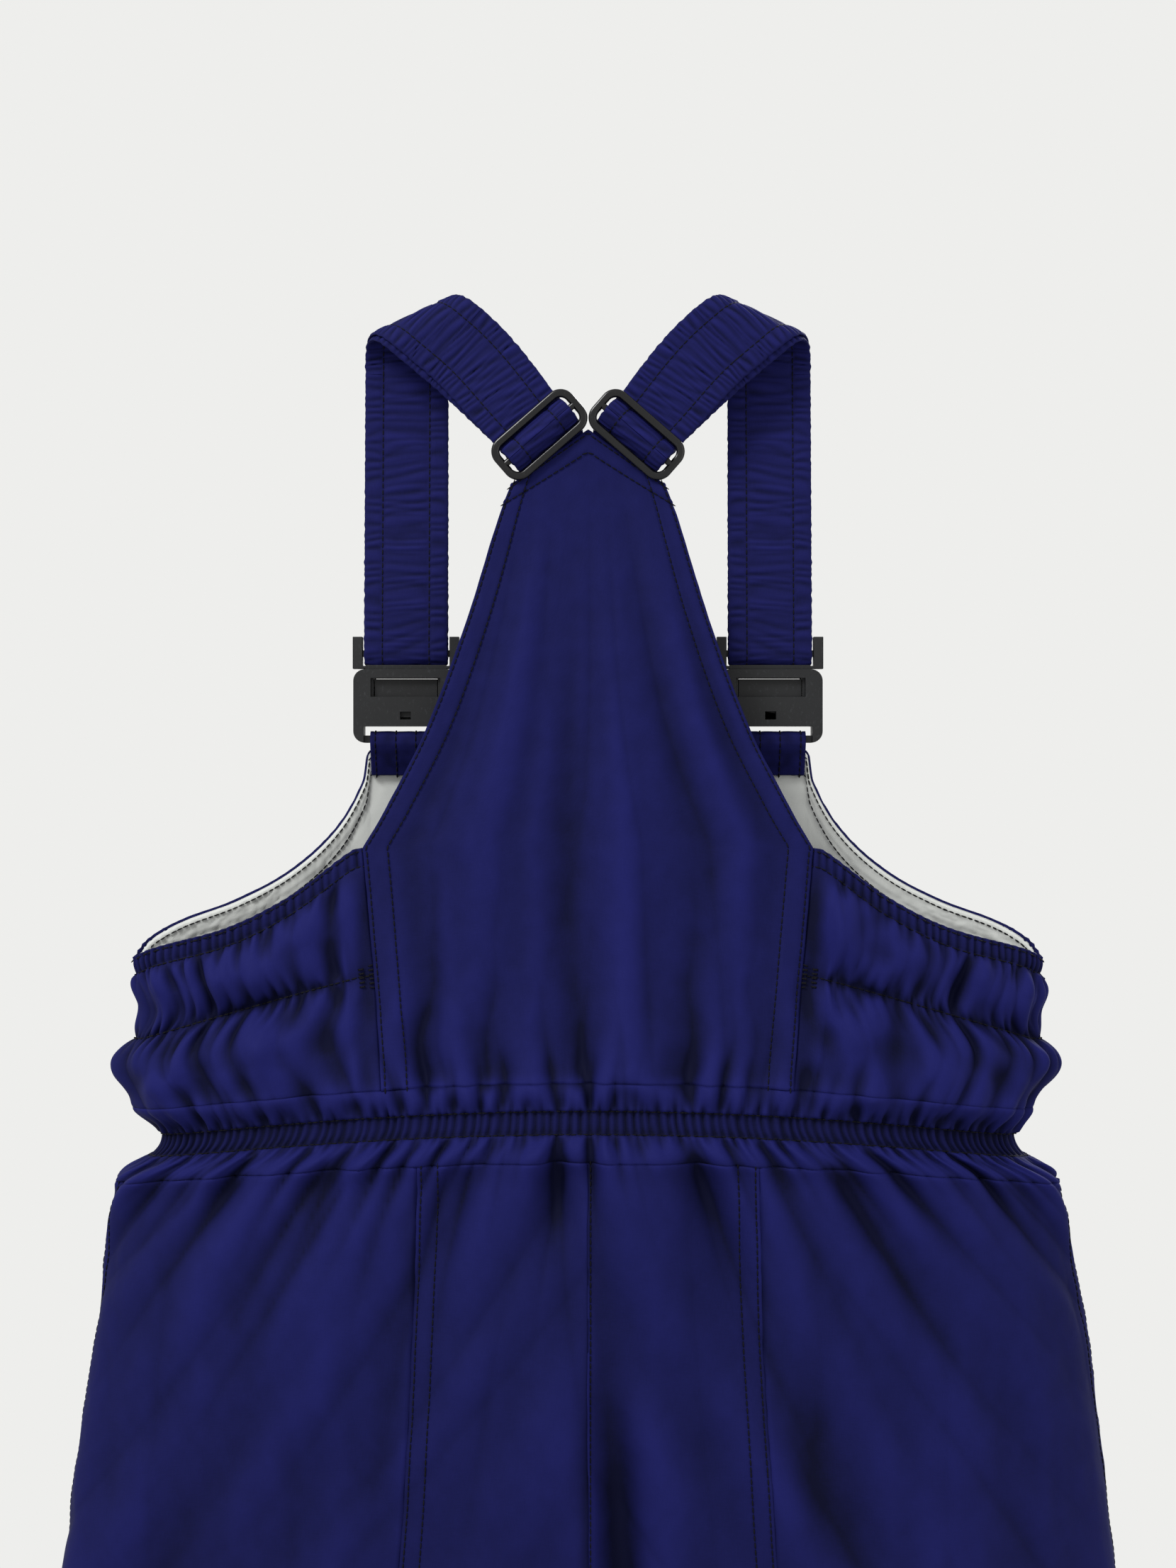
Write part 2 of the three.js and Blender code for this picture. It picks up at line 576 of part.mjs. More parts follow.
/** The strap's run from a crest piece's end to just above its ring, turning a little on the way. */
function backRun(radius, finalDepth, count) {
  const start = folded(radius, crestEnd(radius) + GAP, 0);
  const heading = folded(radius, crestEnd(radius) + 10, 0).sub(start).normalize();
  const end = ringCentre.clone().addScaledVector(ringDown, -BAR_SPACING - 3).setY(finalDepth);
  const reach = start.distanceTo(end) / 3;
  const curve = new THREE.CubicBezierCurve3(
    start,
    start.clone().addScaledVector(heading, reach),
    end.clone().addScaledVector(ringDown, -reach),
    end,
  );
  return steps(0, 1, count).map((t) => {
    const tangent = curve.getTangent(t);
    const across = V(0, -1, 0).cross(tangent).normalize();
    const normal = tangent.clone().cross(across).normalize();
    return { p: curve.getPoint(t), across, normal, width: lerp(STRAP_WIDTH, RING_STRAP_WIDTH, t ** 3) };
  });
}

function alignAcross(stations) {
  stations.forEach((s) => {
    if (s.across.dot(ringAcross) < 0) s.across = s.across.clone().negate();
    const tangent = s.normal.clone().cross(s.across);
    if (s.normal.y > 0 && !s.turned) s.normal = s.normal.clone().negate();
    s.tangent = tangent;
  });
  return stations;
}

/** From the crest down to the ring, under its upper bar, over its middle and under its lower bar to the yoke. */
function runningStrap() {
  const stations = backRun(outerRadius, RING.y + barRadius, 6);
  const tilt = Math.asin((barRadius + runningRadius) / BAR_SPACING);
  for (const a of steps(0, tilt, 3))
    stations.push(ringStation(-BAR_SPACING + barRadius * Math.sin(a), -barRadius * Math.cos(a), a));
  for (const a of steps(tilt, -tilt, 6))
    stations.push(ringStation(-runningRadius * Math.sin(a), runningRadius * Math.cos(a), a));
  const yokeLevel = RING.y + YOKE_BEHIND;
  const drop = [[BAR_SPACING - 1.2, -YOKE_BEHIND + 1.2, -0.9, 33.5], [BAR_SPACING + 0.8, -YOKE_BEHIND, 0, 32]];
  drop.forEach(([q, h, slope, width]) => stations.push(ringStation(q, h, slope, width)));
  const last = ringStation(BAR_SPACING + 5, 0, 0, 28);
  last.p.setY(yokeLevel);
  stations.push(last);
  return ribbon(alignAcross(stations), STRAP);
}

// How far behind the ring's plane the strap lies where it is sewn inside the yoke.
const YOKE_BEHIND = -RING.y - backDepth(YOKE_APEX) + FABRIC + GAP * 2 + STRAP / 2;

/** From the crest down inside the running strap, and round the ring's middle bar. */
function returnStrap() {
  const stations = backRun(innerRadius, RING.y + barRadius + STRAP + GAP, 6);
  stations.push(ringStation(-BAR_SPACING + 1, -barRadius - STRAP - GAP, 0));
  for (const a of steps(0, 180, 6)) {
    const angle = degToRad(a - 90);
    const station = ringStation(loopRadius * Math.cos(angle), loopRadius * Math.sin(angle), degToRad(a));
    station.turned = true;
    stations.push(station);
  }
  return ribbon(alignAcross(stations), STRAP);
}

addPair("tri_glide", adjusterRing(), glossPlastic);
addPair("strap_back_running", runningStrap(), strapCloth);
addPair("strap_back_return", returnStrap(), strapCloth);

// ---------------------------------------------------------------- front release buckles
const buckleAt = (z) => [STRAP_FRONT_X, BUCKLE.y, z];
const fromTop = (offset, height) => BUCKLE.top - offset - height / 2;

function buckleHousing() {
  const centre = BUCKLE.top - BUCKLE.height / 2;
  const outer = roundedPlate(BUCKLE.width, BUCKLE.height, BUCKLE.depth, BUCKLE.corner);
  const body = solid(outer.translate(...buckleAt(centre)));
  const deep = BUCKLE.depth * 2;
  const cut = (width, depth, height, top, y = 0) =>
    solid(block(width, depth, height, buckleAt(fromTop(top, height))).translate(0, y, 0));
  const barTop = BUCKLE_SLOT.top + BUCKLE_SLOT.height;
  const beside = (BUCKLE_BAR.depth + BUCKLE.depth) / 2;
  const cuts = [
    cut(BUCKLE_CAVITY.width, BUCKLE_CAVITY.depth, BUCKLE_CAVITY.height + 2, -2),
    cut(FRONT_WINDOW.width, BUCKLE.depth, FRONT_WINDOW.height, FRONT_WINDOW.top, BUCKLE.depth / 2),
    cut(REAR_WINDOW.width, BUCKLE.depth, REAR_WINDOW.height, REAR_WINDOW.top, -BUCKLE.depth / 2),
    cut(PEEP_HOLE.width, BUCKLE.depth, PEEP_HOLE.height, PEEP_HOLE.top, -BUCKLE.depth / 2),
    cut(BUCKLE_SLOT.width, deep, BUCKLE_SLOT.height, BUCKLE_SLOT.top),
    ...[-1, 1].map((side) =>
      cut(BUCKLE_SLOT.width, BUCKLE.depth, BUCKLE_BAR.height + 2, barTop - 0.5, side * beside),
    ),
  ];
  return geometryOf(cuts.reduce((shape, tool) => shape.subtract(tool), body));
}

const TONGUE_CLEAR = 0.35; // all round, inside the housing
const latchTop = BUCKLE.top - FRONT_WINDOW.top - 0.4;
const latchBottom = latchTop - LATCH.length;

function buckleTongue() {
  const plateWidth = BUCKLE_CAVITY.width - 2 * TONGUE_CLEAR;
  const plateDepth = BUCKLE_CAVITY.depth - 2 * TONGUE_CLEAR;
  const plateTop = BUCKLE.top + 3;
  const plateBottom = BUCKLE.top - BUCKLE_CAVITY.height + 1;
  const piece = (width, depth, low, high, x = 0) =>
    solid(block(width, depth, high - low, buckleAt((low + high) / 2)).translate(x, 0, 0));
  const earX = (BUCKLE.width + 1 - TONGUE_EAR.width) / 2;
  const opening = piece(LATCH.width + 2 * GAP, BUCKLE.depth, latchBottom - GAP, latchTop + 1);
  return geometryOf(
    piece(plateWidth, plateDepth, plateBottom, plateTop - 1)
      .subtract(opening)
      .add(piece(BUCKLE.width + 1, CROSSBAR.depth + 1.5, BUCKLE.top + GAP, BUCKLE.top + 1.6))
      .add(piece(TONGUE_EAR.width, CROSSBAR.depth + 1.5, BUCKLE.top + GAP, BUCKLE.top + TONGUE_EAR.height, earX))
      .add(piece(TONGUE_EAR.width, CROSSBAR.depth + 1.5, BUCKLE.top + GAP, BUCKLE.top + TONGUE_EAR.height, -earX))
      .add(piece(2 * earX, CROSSBAR.depth, CROSSBAR.z - CROSSBAR.height / 2, CROSSBAR.z + CROSSBAR.height / 2)),
  );
}

/** A flexing tab, held at its lower end in the tongue, whose push pad stands in the front window. */
function releaseLatch() {
  const padWidth = FRONT_WINDOW.width - 1;
  const padTop = latchTop - 0.2;
  const padHeight = FRONT_WINDOW.height - 1.2;
  const padDepth = BUCKLE.depth / 2 - 0.3 + LATCH.thickness / 2;
  const strip = solid(block(LATCH.width, LATCH.thickness, LATCH.length, buckleAt((latchTop + latchBottom) / 2)));
  const pad = block(padWidth, padDepth, padHeight, buckleAt(padTop - padHeight / 2));
  return geometryOf(strip.add(solid(pad.translate(0, padDepth / 2 - LATCH.thickness / 2, 0))));
}

/** Cloth loop round the housing's lower bar, its two ends sewn inside the bib. */
function buckleTab() {
  const barCentre = BUCKLE.top - BUCKLE_SLOT.top - BUCKLE_SLOT.height - BUCKLE_BAR.height / 2 + 0.25;
  const turnRadius = BUCKLE_BAR.depth / 2 + 2 * GAP + TAB.thickness / 2;
  const liningFace = (z) => (frontLine(z) - FACING_STEP - LINING) * Math.sqrt(1 - (96 / 198) ** 2);
  const front = liningFace(TAB.end) - GAP - TAB.thickness / 2;
  const below = barCentre - BUCKLE_BAR.height / 2 - TAB.thickness;
  const path = [[TAB.end, front], [below, BUCKLE.y + turnRadius]];
  for (const turn of steps(0, Math.PI, 6))
    path.push([barCentre + turnRadius * Math.sin(turn), BUCKLE.y + turnRadius * Math.cos(turn)]);
  const back = front - TAB.thickness - GAP;
  path.push([below, BUCKLE.y - turnRadius], [TAB.end, back]);
  return ribbon(flatStations(path, STRAP_FRONT_X, TAB.width), TAB.thickness);
}

addPair("buckle_housing", buckleHousing(), mouldedPlastic);
addPair("buckle_tongue", buckleTongue(), mouldedPlastic);
addPair("release_latch", releaseLatch(), mouldedPlastic);
addPair("buckle_tab", buckleTab(), strapCloth);

// ---------------------------------------------------------------- front zip
// In the zip's own frame +Z runs up the slope of the centre front and +Y stands out from it.
const zip = new THREE.Group();
zip.position.set(0, FRONT_TOP_DEPTH, BIB_TOP);
zip.rotation.x = Math.atan(FRONT_SLOPE);
pants.add(zip);

const zipLength = (BIB_TOP - FLY_END) * Math.hypot(1, FRONT_SLOPE);
const tapeFace = -FABRIC - 2 * GAP; // the tape's outer face, behind the panels
const tapeBack = tapeFace - ZIP.tapeThickness;
const coilCentre = tapeFace + GAP + ZIP.coil;
const coilX = ZIP.pitch + ZIP.coil;
const STOP_HEIGHT = 3;
const coilTop = -STOP_HEIGHT - GAP - 2;

for (const [side, name] of [[1, "R"], [-1, "L"]]) {
  const tapeX = side * (ZIP.pitch + ZIP.tape / 2);
  const tapeY = (tapeFace + tapeBack) / 2;
  add("zip_tape_" + name, block(ZIP.tape, ZIP.tapeThickness, zipLength, [tapeX, tapeY, -zipLength / 2]),
    zipTapeCloth, zip);
  const coilLength = zipLength + coilTop - STOP_HEIGHT - 2 * GAP;
  add("zip_coil_" + name,
    new THREE.CylinderGeometry(ZIP.coil, ZIP.coil, coilLength, 8).rotateX(Math.PI / 2)
      .translate(side * coilX, coilCentre, coilTop - coilLength / 2),
    zipTapeCloth, zip);
  add("zip_top_stop_" + name,
    block(2.2, 2.2, STOP_HEIGHT, [side * coilX, tapeFace + GAP + 1.1, coilTop + GAP + STOP_HEIGHT / 2]),
    zipMetal, zip);
}
add("zip_bottom_stop",
  block(2 * coilX + 2.2, 2.2, STOP_HEIGHT, [0, tapeFace + GAP + 1.1, -zipLength + STOP_HEIGHT / 2]),
  zipMetal, zip);

const sliderTop = coilTop - GAP;
const plateBack = coilCentre + ZIP.coil + GAP;
const plateFront = plateBack + SLIDER.plate;
const pinY = plateFront + 2;
const pinZ = sliderTop - SLIDER.length / 2 + 1;

function zipSlider() {
  const middle = sliderTop - SLIDER.length / 2;
  const piece = (width, low, high, x = 0, length = SLIDER.length) =>
    solid(block(width, high - low, length, [x, (low + high) / 2, middle]));
  const rear = tapeBack - GAP;
  const lipX = SLIDER.width / 2 - 0.5;
  const lugX = PULL.neck / 2 + GAP + SLIDER.lug / 2;
  const lug = (side) =>
    solid(block(SLIDER.lug, SLIDER.lugHeight + 0.5, 4, [side * lugX, plateFront + SLIDER.lugHeight / 2 - 0.25, pinZ]));
  const pinHole = solid(
    new THREE.CylinderGeometry(PULL.pin + GAP, PULL.pin + GAP, 4 * lugX, 8).rotateZ(Math.PI / 2)
      .translate(0, pinY, pinZ),
  );
  return geometryOf(
    piece(SLIDER.width, plateBack, plateFront)
      .add(piece(SLIDER.width - 2, rear - SLIDER.plate, rear))
      .add(piece(2 * (ZIP.pitch - GAP), rear - 0.5, plateBack + 0.5, 0, SLIDER.length / 2))
      .add(piece(1, tapeFace + GAP, plateBack + 0.5, lipX))
      .add(piece(1, tapeFace + GAP, plateBack + 0.5, -lipX))
      .add(lug(1))
      .add(lug(-1))
      .subtract(pinHole),
  );
}

function zipPull() {
  const lugSpan = PULL.neck + 2 * (GAP + SLIDER.lug);
  const pin = new THREE.CylinderGeometry(PULL.pin, PULL.pin, lugSpan, 8).rotateZ(Math.PI / 2)
    .translate(0, pinY, pinZ);
  const neck = block(PULL.neck, PULL.thickness, 8, [0, pinY, pinZ - 3]);
  const grip = roundedPlate(PULL.width, PULL.length, PULL.thickness, 2.5).translate(0, pinY, pinZ - 5 - PULL.length / 2);
  return geometryOf(solid(pin).add(solid(neck)).add(solid(grip)));
}

add("zip_slider", zipSlider(), zipMetal, zip);
add("zip_pull", zipPull(), zipMetal, zip);

export default pants;
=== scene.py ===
"""Bib ski pants that hang by their elastic shoulder straps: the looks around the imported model.

The garment's sizes are in millimetres, as in the model, and each mesh is made in metres. +Z is up,
+Y is the wearer's front and +X the wearer's right. The origin lies between the two strap crests.
"""

import itertools
import logging
import math
from collections.abc import Callable, Sequence
from dataclasses import dataclass, field
from enum import Enum

import bmesh
import bpy
import numpy as np
from mathutils import Matrix, Vector

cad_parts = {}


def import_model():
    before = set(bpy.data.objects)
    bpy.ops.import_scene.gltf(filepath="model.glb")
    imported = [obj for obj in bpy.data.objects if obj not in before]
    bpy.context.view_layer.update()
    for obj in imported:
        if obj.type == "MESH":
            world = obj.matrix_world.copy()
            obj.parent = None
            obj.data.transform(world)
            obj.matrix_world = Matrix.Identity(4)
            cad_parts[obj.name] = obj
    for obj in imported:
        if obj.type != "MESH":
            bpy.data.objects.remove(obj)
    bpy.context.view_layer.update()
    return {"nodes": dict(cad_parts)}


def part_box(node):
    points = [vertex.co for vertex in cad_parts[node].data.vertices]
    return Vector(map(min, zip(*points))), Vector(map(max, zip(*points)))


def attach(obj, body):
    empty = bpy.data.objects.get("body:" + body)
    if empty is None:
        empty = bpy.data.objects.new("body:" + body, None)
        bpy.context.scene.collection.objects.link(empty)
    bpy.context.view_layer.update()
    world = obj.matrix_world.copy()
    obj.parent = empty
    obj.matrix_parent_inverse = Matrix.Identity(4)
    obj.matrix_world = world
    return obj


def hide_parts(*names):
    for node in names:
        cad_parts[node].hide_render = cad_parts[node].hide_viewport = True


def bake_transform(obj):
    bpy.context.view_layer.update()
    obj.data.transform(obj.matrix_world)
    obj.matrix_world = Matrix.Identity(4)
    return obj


log = logging.getLogger("ski_pants")

Array = np.ndarray
Trail = Array  # a row of points, in millimetres
MM = 0.001
GAP = 0.3  # between two pieces that touch
SEAM = GAP / 2


class Side(Enum):
    """The wearer's side that a piece is on, as the sign of its X."""

    RIGHT = 1
    LEFT = -1

    @property
    def letter(self) -> str:
        """R or L, as in the model's node names."""
        return self.name[0]

    def turn(self, points: Array) -> Array:
        """Mirrors points of the right side where this is the left."""
        return points * np.array([self.value, 1, 1])


class Edge(Enum):
    """One of a panel's four edges."""

    INNER = "inner"
    OUTER = "outer"
    TOP = "top"
    BOTTOM = "bottom"


# ---------------------------------------------------------------- smooth maths
class Smooth:
    """A smooth function through (input, output) keys, held level past its ends."""

    def __init__(self, *keys: tuple[float, float]) -> None:
        """Sorts the keys and works out the slope at each.

        Args:
            keys: pairs of input and output.
        """
        rising = sorted(keys)
        self.x = np.array([key[0] for key in rising], float)
        self.y = np.array([key[1] for key in rising], float)
        order = np.arange(len(rising))
        ahead = np.minimum(order + 1, len(rising) - 1)
        behind = np.maximum(order - 1, 0)
        self.slope = (self.y[ahead] - self.y[behind]) / (self.x[ahead] - self.x[behind])

    def __call__(self, x: Array | float) -> Array:
        """The function's value.

        Args:
            x: one input or an array of them.

        Returns:
            The outputs, in the same shape.
        """
        x = np.clip(x, self.x[0], self.x[-1])
        i = np.clip(np.searchsorted(self.x, x, side="right") - 1, 0, len(self.x) - 2)
        span = self.x[i + 1] - self.x[i]
        t = (x - self.x[i]) / span
        m0, m1 = self.slope[i] * span, self.slope[i + 1] * span
        p0, p1 = self.y[i], self.y[i + 1]
        return p0 + t * (m0 + t * (3 * (p1 - p0) - 2 * m0 - m1 + t * (2 * (p0 - p1) + m0 + m1)))


def rise(low: float, high: float, x: Array) -> Array:
    """0 before low, 1 after high, and smooth between; low may be the larger of the two."""
    t = np.clip((x - low) / (high - low), 0, 1)
    return t * t * (3 - 2 * t)


def hump(x: Array, centre: float, spread: float) -> Array:
    """A bell that is 1 at its centre and falls away over its spread."""
    return np.exp(-(((x - centre) / spread) ** 2))


def unit(vectors: Array) -> Array:
    """Vectors scaled to a length of 1."""
    return vectors / np.maximum(np.linalg.norm(vectors, axis=-1, keepdims=True), 1e-9)


def spots(*parts: Array | float) -> Array:
    """Points from one array or number for each coordinate."""
    return np.stack(np.broadcast_arrays(*parts), axis=-1)


class Noise:
    """Gradient noise in three dimensions, about -1 to 1, the same each run."""

    def __init__(self, seed: int) -> None:
        """Draws the gradients.

        Args:
            seed: which of the possible noises this is.
        """
        draw = np.random.default_rng(seed)
        self.order = draw.permutation(256)
        self.gradients = unit(draw.normal(size=(256, 3)))

    def __call__(self, points: Array, *scale: float) -> Array:
        """The noise at points.

        Args:
            points: an array that ends in three coordinates.
            scale: the wavelength along each coordinate, or one for all three.

        Returns:
            An array without the last axis.
        """
        p = points / np.array(scale)
        cell = np.floor(p).astype(int)
        part = p - cell
        fade = part**3 * (part * (part * 6 - 15) + 10)
        total = np.zeros(p.shape[:-1])
        for corner in itertools.product((0, 1), repeat=3):
            x, y, z = ((cell[..., k] + corner[k]) & 255 for k in range(3))
            pick = self.order[(self.order[(self.order[x] + y) & 255] + z) & 255]
            slope = (self.gradients[pick] * (part - np.array(corner))).sum(-1)
            weight = np.prod([fade[..., k] if corner[k] else 1 - fade[..., k] for k in range(3)], axis=0)
            total += slope * weight
        return total * 1.7

    def billow(self, points: Array, *scale: float) -> Array:
        """Noise with round crests and sharp valleys, from about -0.5 to 1."""
        return np.abs(self(points, *scale)) * 2.4 - 0.55


# ---------------------------------------------------------------- shader maths
class Value:
    """One number socket of a material, so that shader maths reads as maths."""

    def __init__(self, recipe: "Recipe", socket: bpy.types.NodeSocket) -> None:
        """Wraps a socket.

        Args:
            recipe: the material that the socket belongs to.
            socket: an output that carries a number.
        """
        self.recipe = recipe
        self.socket = socket

    def _with(self, operation: str, *terms: "Value | float") -> "Value":
        """A Math node of one operation on these terms."""
        return self.recipe.value("ShaderNodeMath", {"operation": operation}, *terms)

    def __add__(self, other: "Value | float") -> "Value":
        """The sum."""
        return self._with("ADD", self, other)

    __radd__ = __add__

    def __sub__(self, other: "Value | float") -> "Value":
        """The difference."""
        return self._with("SUBTRACT", self, other)

    def __rsub__(self, other: "Value | float") -> "Value":
        """The difference from a number."""
        return self._with("SUBTRACT", other, self)

    def __mul__(self, other: "Value | float") -> "Value":
        """The product."""
        return self._with("MULTIPLY", self, other)

    def within(self, low: float, high: float) -> "Value":
        """0 below low and 1 above high, straight between."""
        return self.recipe.value("ShaderNodeMapRange", {"clamp": True}, self, low, high, 0.0, 1.0)


class Recipe:
    """A material that is being put together around one Principled shader."""

    def __init__(self, name: str) -> None:
        """Starts an empty material.

        Args:
            name: the material's name.
        """
        self.material = bpy.data.materials.new(name)
        self.material.use_nodes = True
        self.tree = self.material.node_tree
        self.shader = self.tree.nodes["Principled BSDF"]

    def node(self, kind: str, settings: dict[str, object], *inputs: object) -> bpy.types.Node:
        """Adds a node.

        Args:
            kind: the node's type.
            settings: properties that are set before its sockets.
            inputs: a value or a link for each socket in order; None leaves one as it is.

        Returns:
            The new node.
        """
        made = self.tree.nodes.new(kind)
        for key, setting in settings.items():
            setattr(made, key, setting)
        for socket, given in zip(made.inputs, inputs):
            if given is not None:
                self.feed(socket, given)
        return made

    def feed(self, socket: bpy.types.NodeSocket, given: object) -> None:
        """Gives a socket a link, or a constant."""
        source = given.socket if isinstance(given, Value) else given
        if isinstance(source, bpy.types.NodeSocket):
            self.tree.links.new(source, socket)
        else:
            socket.default_value = source

    def value(self, kind: str, settings: dict[str, object], *inputs: object) -> Value:
        """Adds a node and returns its first output as a number."""
        return Value(self, self.node(kind, settings, *inputs).outputs[0])

    def place(self, source: str, scale: Sequence[float]) -> bpy.types.NodeSocket:
        """A pattern's coordinates.

        Args:
            source: Object or UV.
            scale: the repeats for each metre along each axis.

        Returns:
            The scaled coordinates.
        """
        coordinates = self.node("ShaderNodeTexCoord", {}).outputs[source]
        return self.node("ShaderNodeMapping", {}, coordinates, None, None, tuple(scale)).outputs[0]

    def noise(self, source: str, scale: Sequence[float], detail: float = 2.0) -> Value:
        """A noise pattern, about 0 to 1, with that many repeats a metre along each axis."""
        return self.value("ShaderNodeTexNoise", {}, self.place(source, scale), None, 1.0, detail)

    def wave(self, source: str, scale: Sequence[float], direction: str, wander: float) -> Value:
        """Bands across one axis, 0 to 1, which wander from straight."""
        settings = {"wave_type": "BANDS", "bands_direction": direction, "wave_profile": "SIN"}
        return self.value("ShaderNodeTexWave", settings, self.place(source, scale), 1.0, wander, 1.0)

    def blend(self, factor: Value, low: Sequence[float], high: Sequence[float]) -> bpy.types.NodeSocket:
        """A colour between two, by a factor."""
        mix = self.node("ShaderNodeMix", {"data_type": "RGBA"})
        self.feed(mix.inputs[0], factor)
        mix.inputs[6].default_value = (*low, 1)
        mix.inputs[7].default_value = (*high, 1)
        return mix.outputs[2]

    def relief(self, height: Value, depth: float, strength: float) -> None:
        """Bumps the surface.

        Args:
            height: 0 to 1.
            depth: the relief's height in millimetres.
            strength: how much of it shows.
        """
        bump = self.node("ShaderNodeBump", {}, strength, depth * MM)
        self.feed(bump.inputs["Height"], height)
        self.feed(self.shader.inputs["Normal"], bump.outputs[0])

    def surface(self, **constants: object) -> None:
        """Sets the shader's own sockets, named with _ for a space."""
        for key, given in constants.items():
            self.feed(self.shader.inputs[key.replace("_", " ")], given)


Colour = tuple[float, float, float]


@dataclass(frozen=True)
class Cloth:
    """A woven cloth: two sets of threads, a faint cloudiness, and painted shade in the folds' valleys with
    painted light on their crests.
    """

    name: str
    # deep is the painted shade colour of the folds' valleys, lit the painted lit colour of their crests
    deep: Colour
    lit: Colour
    roughness: float
    threads: float = 2100.0
    weave_depth: float = 0.12

    def material(self) -> bpy.types.Material:
        """Makes the material."""
        recipe = Recipe(self.name)
        slub = self.threads / 9
        warp = recipe.noise("UV", (self.threads, slub, 1), 1.0)
        weft = recipe.noise("UV", (slub, self.threads, 1), 1.0)
        weave = warp * 0.5 + weft * 0.5
        cloud = recipe.noise("Object", (16, 16, 9), 3.0)
        # crest carries painted shade and light: 0 paints a valley with the shaded colour, 1 paints a crest
        # with the lit colour
        crest = Value(recipe, recipe.node("ShaderNodeAttribute", {"attribute_name": "crest"}).outputs["Fac"])
        # tone mixes that painted shade and light with the cloth's own random cloudiness and weave
        tone = (crest + cloud * 0.22 + weave * 0.3 - 0.3).within(0, 1)
        recipe.surface(
            Base_Color=recipe.blend(tone, self.deep, self.lit),
            Roughness=self.roughness + cloud * 0.1 - weave * 0.08,
            Specular_IOR_Level=0.07,
        )
        crinkle = recipe.noise("UV", (230, 190, 1), 3.0)
        recipe.relief(weave * 0.45 + crinkle * 0.55, self.weave_depth * 2, 0.5)
        return recipe.material


@dataclass(frozen=True)
class Webbing:
    """Elastic or zip tape: ribs along one direction, crossed by fine threads."""

    name: str
    deep: Colour
    lit: Colour
    ribs: float
    roughness: float = 0.85

    def material(self) -> bpy.types.Material:
        """Makes the material."""
        recipe = Recipe(self.name)
        rib = recipe.wave("UV", (self.ribs, self.ribs / 40, 1), "X", 0.6)
        cross = recipe.noise("UV", (self.ribs / 8, self.ribs * 1.4, 1), 1.0)
        tone = (rib * 0.6 + cross * 0.4).within(0.1, 0.9)
        recipe.surface(
            Base_Color=recipe.blend(tone, self.deep, self.lit),
            Roughness=self.roughness - cross * 0.1,
            Sheen_Weight=0.15,
        )
        recipe.relief(tone, 0.25, 0.7)
        return recipe.material


@dataclass(frozen=True)
class Moulding:
    """Moulded plastic or coated metal: fine grain, faint scuffs and a little wear in the gloss."""

    name: str
    colour: Colour
    worn: Colour
    roughness: float
    grain: float
    metallic: float = 0.0
    coat: float = 0.0

    def material(self) -> bpy.types.Material:
        """Makes the material."""
        recipe = Recipe(self.name)
        grain = recipe.noise("Object", (3200, 3200, 3200), 2.0)
        scuff = recipe.noise("Object", (900, 120, 500), 4.0).within(0.58, 0.8)
        haze = recipe.noise("Object", (70, 70, 70), 3.0)
        recipe.surface(
            Base_Color=recipe.blend(scuff * 0.6 + haze * 0.25, self.colour, self.worn),
            Roughness=self.roughness + haze * 0.12 + scuff * 0.15,
            Metallic=self.metallic,
            Coat_Weight=self.coat,
            Coat_Roughness=0.12,
            Specular_IOR_Level=0.3,
        )
        recipe.relief(grain, self.grain, 0.5)
        return recipe.material


@dataclass(frozen=True)
class Twist:
    """Sewing thread: two plies twisted round each other."""

    name: str
    deep: Colour
    lit: Colour

    def material(self) -> bpy.types.Material:
        """Makes the material."""
        recipe = Recipe(self.name)
        ply = recipe.noise("Object", (5200, 5200, 2600), 1.0)
        recipe.surface(
            Base_Color=recipe.blend(ply.within(0.3, 0.7), self.deep, self.lit),
            Roughness=0.6 + ply * 0.2,
            Specular_IOR_Level=0.12,
        )
        recipe.relief(ply, 0.08, 0.6)
        return recipe.material


@dataclass(frozen=True)
class Palette:
    """Every finish on the garment, made once."""

    shell: bpy.types.Material
    strap: bpy.types.Material
    lining: bpy.types.Material
    elastic: bpy.types.Material
    thread: bpy.types.Material
    plastic: bpy.types.Material
    gloss: bpy.types.Material
    tape: bpy.types.Material
    coil: bpy.types.Material
    metal: bpy.types.Material

    @staticmethod
    def mixed() -> "Palette":
        """Makes the materials."""
        finishes = {
            # for the three cloths the first colour is the painted shade of the folds' valleys, the second the
            # painted light of their crests
            "shell": Cloth("indigo_nylon", (0.002, 0.0026, 0.017), (0.0092, 0.0105, 0.09), 0.74),
            "strap": Cloth("indigo_strap_nylon", (0.0018, 0.0024, 0.014), (0.0115, 0.0125, 0.104), 0.74),
            "lining": Cloth("off_white_taffeta", (0.46, 0.475, 0.455), (0.66, 0.675, 0.65), 0.7, 2600.0, 0.08),
            "elastic": Webbing("knit_elastic", (0.006, 0.006, 0.008), (0.03, 0.03, 0.036), 900.0),
            "thread": Twist("black_thread", (0.001, 0.001, 0.002), (0.006, 0.006, 0.01)),
            "plastic": Moulding("moulded_acetal", (0.005, 0.0053, 0.006), (0.035, 0.037, 0.041), 0.44, 0.05),
            "gloss": Moulding(
                "glossy_nylon", (0.002, 0.002, 0.0025), (0.012, 0.012, 0.013), 0.16, 0.012, coat=0.12
            ),
            "tape": Webbing("zip_tape_cloth", (0.004, 0.004, 0.018), (0.02, 0.017, 0.06), 1500.0),
            "coil": Moulding("zip_coil_nylon", (0.008, 0.007, 0.03), (0.04, 0.036, 0.1), 0.35, 0.02),
            "metal": Moulding("zip_dark_metal", (0.09, 0.09, 0.1), (0.4, 0.39, 0.38), 0.3, 0.015, 0.9),
        }
        return Palette(**{use: finish.material() for use, finish in finishes.items()})


